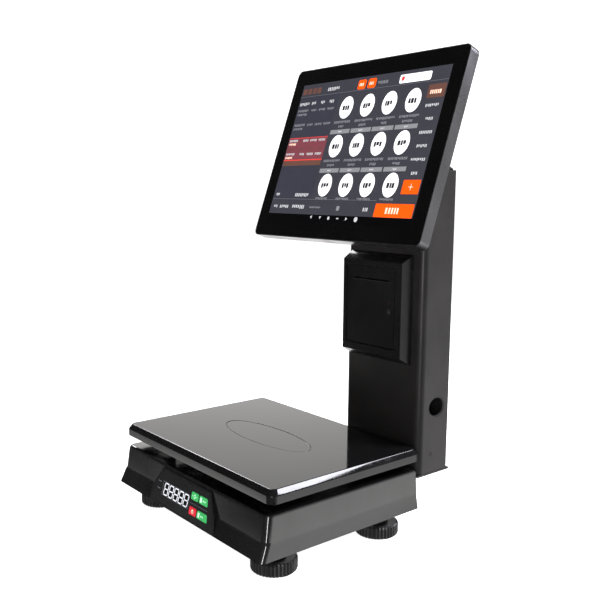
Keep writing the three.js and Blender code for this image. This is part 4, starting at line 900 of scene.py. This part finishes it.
@dataclass
class LabelPrinter:
    """The printer in front of the column, with its door, lock and mechanism."""

    front: float = 70.557
    slot: tuple[float, float, float] = (55.0, 124.0, 335.3)
    lock: Flat = (125.2, 295.5)
    rim: Flat = (4.25, 5.6)
    teeth: int = 46
    strip: tuple[float, float, float] = (1.5, 0.5, -0.1)

    def build(self) -> None:
        """Dresses the printer and adds the tear strip and the lock's rim."""
        dress_nodes(PRINTER_PLASTIC, 0.6, "printer_housing")
        dress_nodes(DOOR_PLASTIC, 0.4, "printer_door")
        dress_nodes(LOCK_STEEL, 0.2, "door_lock")
        dress_nodes(LAMP_LENS, 0.15, "status_light")
        dress_nodes(PLATED_STEEL, 0.2, "door_hinge_pin", "printer_chassis", "roll_spindle")
        dress_nodes(SOFT_RUBBER, 0.2, "platen_roller")
        dress_nodes(WHITE_NYLON, 0.1, "platen_gear", "motor_pinion")
        dress_nodes(CAST_ALUMINIUM, 0.3, "printer_motor")
        dress_nodes(BOARD_GREEN, 0.2, "print_head")
        dress_nodes(LABEL_PAPER, 0.3, "label_roll")
        place = placing((0, self.front, 0), (1, 0, 0), (0, 0, 1), (0, -1, 0))
        left, right, up = self.slot
        foot, root, tip = (up - down for down in self.strip)
        step = (right - left) / self.teeth
        teeth = []
        for tooth in range(self.teeth):
            teeth += [(left + (tooth + 0.5) * step, tip), (left + (tooth + 1) * step, root)]
        outline = [(left, foot), (right, foot), *reversed(teeth), (left, root)]
        Form(place).prism(outline, -0.2, 0.35).piece("tear_strip", "printer_door", LOCK_STEEL)
        x, z = self.lock
        inner, outer = (oval(x, z, radius, radius) for radius in self.rim)
        rim = Form(place).washer(inner, outer, 0.0, 0.5)
        rim.piece("lock_rim", "printer_door", DOOR_PLASTIC, 0.15)


@dataclass
class TouchScreen:
    """The tilting screen on the column's head."""

    lean: float = 19.35
    face: float = 27.3

    def __post_init__(self) -> None:
        """Works out the screen's own frame from its hinge."""
        tilt = next(joint for joint in frame["joints"] if joint["name"] == "screen_tilt")
        _, pin_y, pin_z = (part / MM for part in tilt["pos_m"])
        sine, cosine = math.sin(math.radians(self.lean)), math.cos(math.radians(self.lean))
        self.place = placing((0, pin_y, pin_z), (1, 0, 0), (0, sine, cosine), (0, -cosine, sine))

    def build(self) -> None:
        """Dresses the screen and draws its picture."""
        dress_nodes(FRAME_GREY, 0.5, "screen_frame")
        dress_nodes(BLACK_GLASS, 0.15, "screen_glass")
        dress_nodes(MODULE_GREY, 0.3, "lcd_panel")
        dress_nodes(BOARD_GREEN, 0.0, "computer_board")
        dress_nodes(PRINTER_PLASTIC, 0.4, "screen_back_cover")
        dress_nodes(PLATED_STEEL, 0.3, "screen_hinge_bracket")
        Picture(self.place, self.face).build()


@dataclass
class Picture:
    """The blank till page on the screen, drawn as thin lit plates behind the glass's gloss."""

    place: Matrix
    face: float
    width: float = 304.0
    height: float = 228.0
    top: float = 145.7
    step: float = 0.04
    columns: tuple[float, ...] = (115.8, 160.2, 204.2, 248.9)
    rows: tuple[float, ...] = (46.3, 107.6, 168.8)
    tile: Flat = (13.8, 17.6)
    forms: dict[Ink, list[list[Flat]]] = field(default_factory=dict)
    chance: random.Random = field(default_factory=lambda: random.Random(11))

    def put(self, ink: Ink, *outlines: Sequence[Flat]) -> None:
        """Adds outlines, measured right and down from the picture's corner.

        Args:
            ink: Their colour.
            outlines: The outlines.
        """
        shapes = self.forms.setdefault(ink, [])
        for outline in outlines:
            shapes.append([(x - self.width / 2, self.top - y) for x, y in outline])

    def words(self, ink: Ink, left: float, middle: float, width: float, high: float) -> None:
        """A row of blank strokes, its middle at that height."""
        bold = 0.82 if ink is Ink.CODE else 0.58
        self.put(ink, *words(left, middle - high / 2, width, high, bold, self.chance))

    def block(
        self, ink: Ink, left: float, high: float, right: float, low: float, turn: float
    ) -> None:
        """A block with rounded corners."""
        shape = rounded((right - left) / 2, (low - high) / 2, turn, 6)
        self.put(ink, moved(shape, (left + right) / 2, (high + low) / 2))

    def head(self) -> None:
        """The bar along the top."""
        self.put(Ink.DIM, bar(0.6, 20.6, 303.4, 20.9))
        for left in (3.0, 14.5, 26.0, 37.0):
            self.block(Ink.BROWN, left, 7.0, left + 8.6, 16.8, 1.2)
        self.words(Ink.TEXT, 62.0, 12.4, 27.0, 5.6)
        for left in (128.6, 149.4):
            self.block(Ink.ORANGE, left, 4.4, left + 16.2, 19.4, 3.0)
            self.words(Ink.PALE, left + 3.2, 12.0, 9.8, 4.6)
        self.words(Ink.DIM, 170.4, 12.6, 20.0, 4.6)
        self.block(Ink.WHITE, 212.6, 5.6, 270.8, 18.6, 2.6)
        ring = oval(218.8, 11.6, 3.0, 3.6, 24)
        self.put(Ink.RED, ring)

    def ledger(self) -> None:
        """The list at the left, with its lit row."""
        self.put(Ink.LIST, bar(0.8, 21.4, 92.6, 190.6))
        columns = ((3.0, 22.0), (32.0, 10.6), (53.6, 9.4), (73.4, 11.4))
        for left, width in columns:
            self.words(Ink.TEXT, left, 33.2, width, 5.0)
        for down in (44.4, 68.6):
            self.words(Ink.DIM, 3.0, down, 25.0, 4.0)
            self.words(Ink.DIM, 3.6, down + 6.6, 22.0, 3.8)
            for left, width in ((35.0, 13.0), (53.0, 15.0), (72.6, 15.6)):
                self.words(Ink.DIM, left, down + 0.6, width, 3.8)
        self.block(Ink.BROWN, 0.9, 128.6, 91.6, 136.6, 0.5)
        self.block(Ink.DULL_RED, 0.9, 90.4, 91.6, 128.4, 0.5)
        self.put(Ink.RED, bar(0.9, 90.2, 91.6, 91.2), bar(0.9, 126.6, 91.6, 128.4))
        rows = ((95.0, Ink.TEXT), (101.0, Ink.PALE), (117.4, Ink.TEXT), (123.4, Ink.PALE))
        for down, ink in rows:
            self.words(ink, 3.0, down, 18.0 if ink is Ink.PALE else 20.0, 3.6)
            if ink is Ink.TEXT:
                for left, width in ((36.0, 12.0), (53.0, 15.4), (72.6, 15.6)):
                    self.words(ink, left, down + 0.6, width, 3.8)
        for left in (4.0, 31.0, 55.0, 76.0):
            self.words(Ink.BROWN, left, 109.6, 11.0, 4.4)
        self.words(Ink.TEXT, 6.4, 184.0, 9.0, 4.6)
        self.words(Ink.TEXT, 53.0, 184.4, 33.0, 5.2)

    def goods(self) -> None:
        """The round tiles with their captions."""
        for row, middle in enumerate(self.rows):
            for centre in self.columns:
                self.put(Ink.WHITE, oval(centre, middle, *self.tile, 48))
                width = self.chance.uniform(14.0, 17.6)
                self.words(Ink.CODE, centre - width / 2, middle + 0.6, width, 7.4)
                if row == 2:
                    self.words(Ink.DIM, centre - 13.0, middle + 20.6, 26.0, 3.2)
                    continue
                for down, width in ((23.0, 36.0), (30.2, self.chance.uniform(9.0, 24.0))):
                    self.words(Ink.DIM, centre - width / 2, middle + down, width, 3.8)
                self.put(Ink.GREY, bar(centre - 21.0, middle + 35.0, centre + 20.6, middle + 41.6))
                self.words(Ink.TEXT, centre - 4.0, middle + 38.4, 8.0, 2.4)

    def groups(self) -> None:
        """The column of groups at the right, with its two orange keys."""
        self.block(Ink.BROWN, 271.6, 26.2, 302.6, 45.6, 1.0)
        self.words(Ink.PALE, 276.6, 37.2, 21.0, 5.6)
        widths = (25.0, 12.4, 22.0, 18.4, 26.0, 12.0)
        for number, width in enumerate(widths):
            self.words(Ink.TEXT, 287.0 - width / 2, 56.4 + number * 19.2, width, 4.2)
        self.block(Ink.ORANGE, 271.6, 161.6, 301.8, 181.4, 0.8)
        self.put(Ink.PALE, bar(282.6, 171.1, 290.8, 171.9), bar(286.3, 167.0, 287.1, 176.0))
        self.block(Ink.ORANGE, 231.6, 195.4, 301.8, 214.6, 0.8)
        self.words(Ink.PALE, 252.0, 205.2, 28.0, 8.6)

    def foot(self) -> None:
        """The line of sums and the black bar of buttons."""
        self.put(Ink.DIM, bar(0.8, 191.0, 230.0, 191.3))
        for left, width, high in ((8.4, 10.0, 4.4), (23.6, 20.0, 4.8), (53.6, 29.0, 6.0)):
            self.words(Ink.TEXT, left, 203.4, width, high)
        self.words(Ink.DIM, 94.0, 203.6, 25.0, 2.6)
        self.words(Ink.TEXT, 208.6, 204.6, 9.6, 5.2)
        self.block(Ink.GREY, 154.0, 200.6, 160.0, 207.4, 1.2)
        self.put(Ink.BLACK, bar(0.0, 214.9, 304.0, 228.0))
        shapes = (
            [(101.6, 218.2), (105.6, 216.0), (105.6, 221.4)],
            [(121.8, 217.2), (126.4, 217.2), (124.1, 221.4)],
            oval(142.8, 219.4, 2.2, 2.6, 20),
            bar(159.8, 218.4, 164.0, 220.2),
            [(178.6, 216.6), (182.6, 219.2), (178.6, 221.8)],
            oval(199.8, 219.6, 3.4, 3.8, 20),
        )
        self.put(Ink.TEXT, *shapes)

    def build(self) -> None:
        """Lays out the page and makes one piece of each ink."""
        self.put(Ink.GROUND, bar(0.0, 0.0, self.width, self.height))
        self.head()
        self.ledger()
        self.goods()
        self.groups()
        self.foot()
        for ink, shapes in self.forms.items():
            form = Form(self.place)
            low = self.face if ink.layer == 1 else self.face + (ink.layer - 1) * self.step
            for outline in shapes:
                form.prism(outline, low - 0.02, self.face + ink.layer * self.step)
            form.piece(f"picture_{ink.name.lower()}", "screen", ink.finish)


# ------------------------------------------------------------------ studio


@dataclass(frozen=True)
class Glow:
    """A soft patch of the surroundings, as it shows in the gloss."""

    towards: Point
    tight: float
    strength: float


@dataclass(frozen=True)
class Softbox:
    """A square lamp that looks at the object."""

    name: str
    towards: Point
    away: float
    size: Flat
    bright: float
    colour: Colour = (1.0, 1.0, 1.0)


@dataclass
class Studio:
    """The pale floor, the white backdrop, the lamps and the camera."""

    aim: Point = (0.0, 0.0, 0.25)
    turn: float = 50.05
    lift: float = 7.72
    roll: float = -0.60
    stand: Point = (0.8482, -0.690743, 0.4515)
    lens_mm: float = 47.4
    glows: tuple[Glow, ...] = (
        Glow((-0.75, 0.58, 0.28), 7.0, 1.08),
        Glow((0.72, 0.60, -0.46), 8.0, 1.75),
        Glow((-0.78, -0.48, -0.50), 60.0, 2.6),
        Glow((-0.75, 0.50, -0.45), 6.0, 1.7),
        Glow((0.55, -0.80, 0.25), 6.0, 0.22),
    )
    ambient: float = 0.05
    tint: Colour = (1.0, 0.985, 0.97)
    lamps: tuple[Softbox, ...] = (
        Softbox("back right", (0.54, 0.59, 0.60), 2.2, (0.8, 0.8), 26.0, (0.92, 0.92, 1.0)),
        Softbox("left strip", (-0.75, 0.26, 0.61), 2.4, (0.6, 1.4), 13.0),
        Softbox("near corner", (0.67, -0.74, 0.02), 2.6, (0.3, 1.5), 15.0),
    )

    def build(self) -> None:
        """Sets up the whole studio."""
        self.surroundings()
        for lamp in self.lamps:
            self.lamp(lamp)
        self.floor()
        self.camera()

    def surroundings(self) -> None:
        """The light that comes from all round."""
        world = bpy.data.worlds.new("studio")
        bpy.context.scene.world = world
        world.use_nodes = True
        graph = Graph(world.node_tree)
        way = graph.node("ShaderNodeTexCoord", {}, {}, "Generated")
        total = self.ambient
        for glow in self.glows:
            towards = tuple(Vector(glow.towards).normalized())
            aligned = {0: way, 1: towards}
            share = graph.node("ShaderNodeVectorMath", {"operation": "DOT_PRODUCT"}, aligned, 1)
            share = share.math("MAXIMUM", share, 0.0)
            total = share ** glow.tight * glow.strength + total
        air = {"Color": self.tint, "Strength": total}
        sky = graph.node("ShaderNodeBackground", {}, air)
        graph.node("ShaderNodeOutputWorld", {}, {"Surface": sky})

    def lamp(self, lamp: Softbox) -> None:
        """Hangs one lamp and turns it to the object.

        Args:
            lamp: The lamp.
        """
        data = bpy.data.lights.new(lamp.name, "AREA")
        data.shape = "RECTANGLE"
        data.size, data.size_y = lamp.size
        data.energy = lamp.bright * math.pi * data.size * data.size_y
        data.color = lamp.colour
        made = bpy.data.objects.new(lamp.name, data)
        bpy.context.scene.collection.objects.link(made)
        towards = Vector(lamp.towards).normalized()
        made.location = Vector(self.aim) + towards * lamp.away
        made.rotation_mode = "QUATERNION"
        made.rotation_quaternion = towards.to_track_quat("Z", "Y")

    def stage(self, name: str, mesh: bmesh.types.BMesh, colour: Colour, glow: float) -> object:
        """Adds a part of the studio that isn't part of the object.

        Args:
            name: Its name.
            mesh: Its mesh.
            colour: Its colour.
            glow: Its own light.

        Returns:
            The new object.
        """
        data = bpy.data.meshes.new(name)
        mesh.to_mesh(data)
        mesh.free()
        made = bpy.data.objects.new(name, data)
        bpy.context.scene.collection.objects.link(made)
        paint = bpy.data.materials.new(name)
        paint.use_nodes = True
        graph = Graph(paint.node_tree)
        tone = graph.mix(graph.noise(0.8, 3.0), colour, scaled(colour, 0.97))
        sockets = {"Base Color": tone, "Roughness": 0.9, "Specular IOR Level": 0.1}
        sockets |= {"Emission Color": tone, "Emission Strength": glow}
        shader = graph.node("ShaderNodeBsdfPrincipled", {}, sockets)
        graph.node("ShaderNodeOutputMaterial", {}, {"Surface": shader})
        data.materials.append(paint)
        made.visible_glossy = False
        return made

    def floor(self) -> None:
        """The pale floor and the white backdrop round it."""
        ground = bmesh.new()
        bmesh.ops.create_circle(ground, cap_ends=True, radius=28.0, segments=64)
        self.stage("floor", ground, (0.965, 0.965, 0.965), 1.0)
        dome = bmesh.new()
        bmesh.ops.create_uvsphere(dome, u_segments=48, v_segments=24, radius=30.0)
        backdrop = self.stage("backdrop", dome, (1.0, 1.0, 1.0), 1.0)
        backdrop.visible_diffuse = False
        backdrop.visible_shadow = False

    def camera(self) -> None:
        """Places the camera."""
        data = bpy.data.cameras.new("camera")
        data.lens = self.lens_mm
        data.sensor_width = 36.0
        data.clip_end = 100.0
        made = bpy.data.objects.new("camera", data)
        bpy.context.scene.collection.objects.link(made)
        turn, lift, roll = (math.radians(a) for a in (self.turn, self.lift, self.roll))
        flat = math.cos(lift)
        back = Vector((math.sin(turn) * flat, -math.cos(turn) * flat, math.sin(lift)))
        level = (-back).cross(Vector((0, 0, 1))).normalized()
        down = (-back).cross(level)
        right = level * math.cos(roll) + down * math.sin(roll)
        down = down * math.cos(roll) - level * math.sin(roll)
        facing = Matrix((right, -down, back)).transposed()
        made.matrix_world = Matrix.Translation(self.stand) @ facing.to_4x4()
        bpy.context.scene.camera = made


def main() -> None:
    """Builds the scale and its studio."""
    logging.basicConfig(level=logging.INFO, format="%(name)s: %(message)s")
    bpy.context.scene.view_settings.view_transform = "Standard"
    for part in (Base(), Platter(), DisplayPanel(), Column(), LabelPrinter(), TouchScreen()):
        part.build()
        LOG.info("%s done", type(part).__name__)
    Studio().build()


if __name__ == "__main__":
    main()
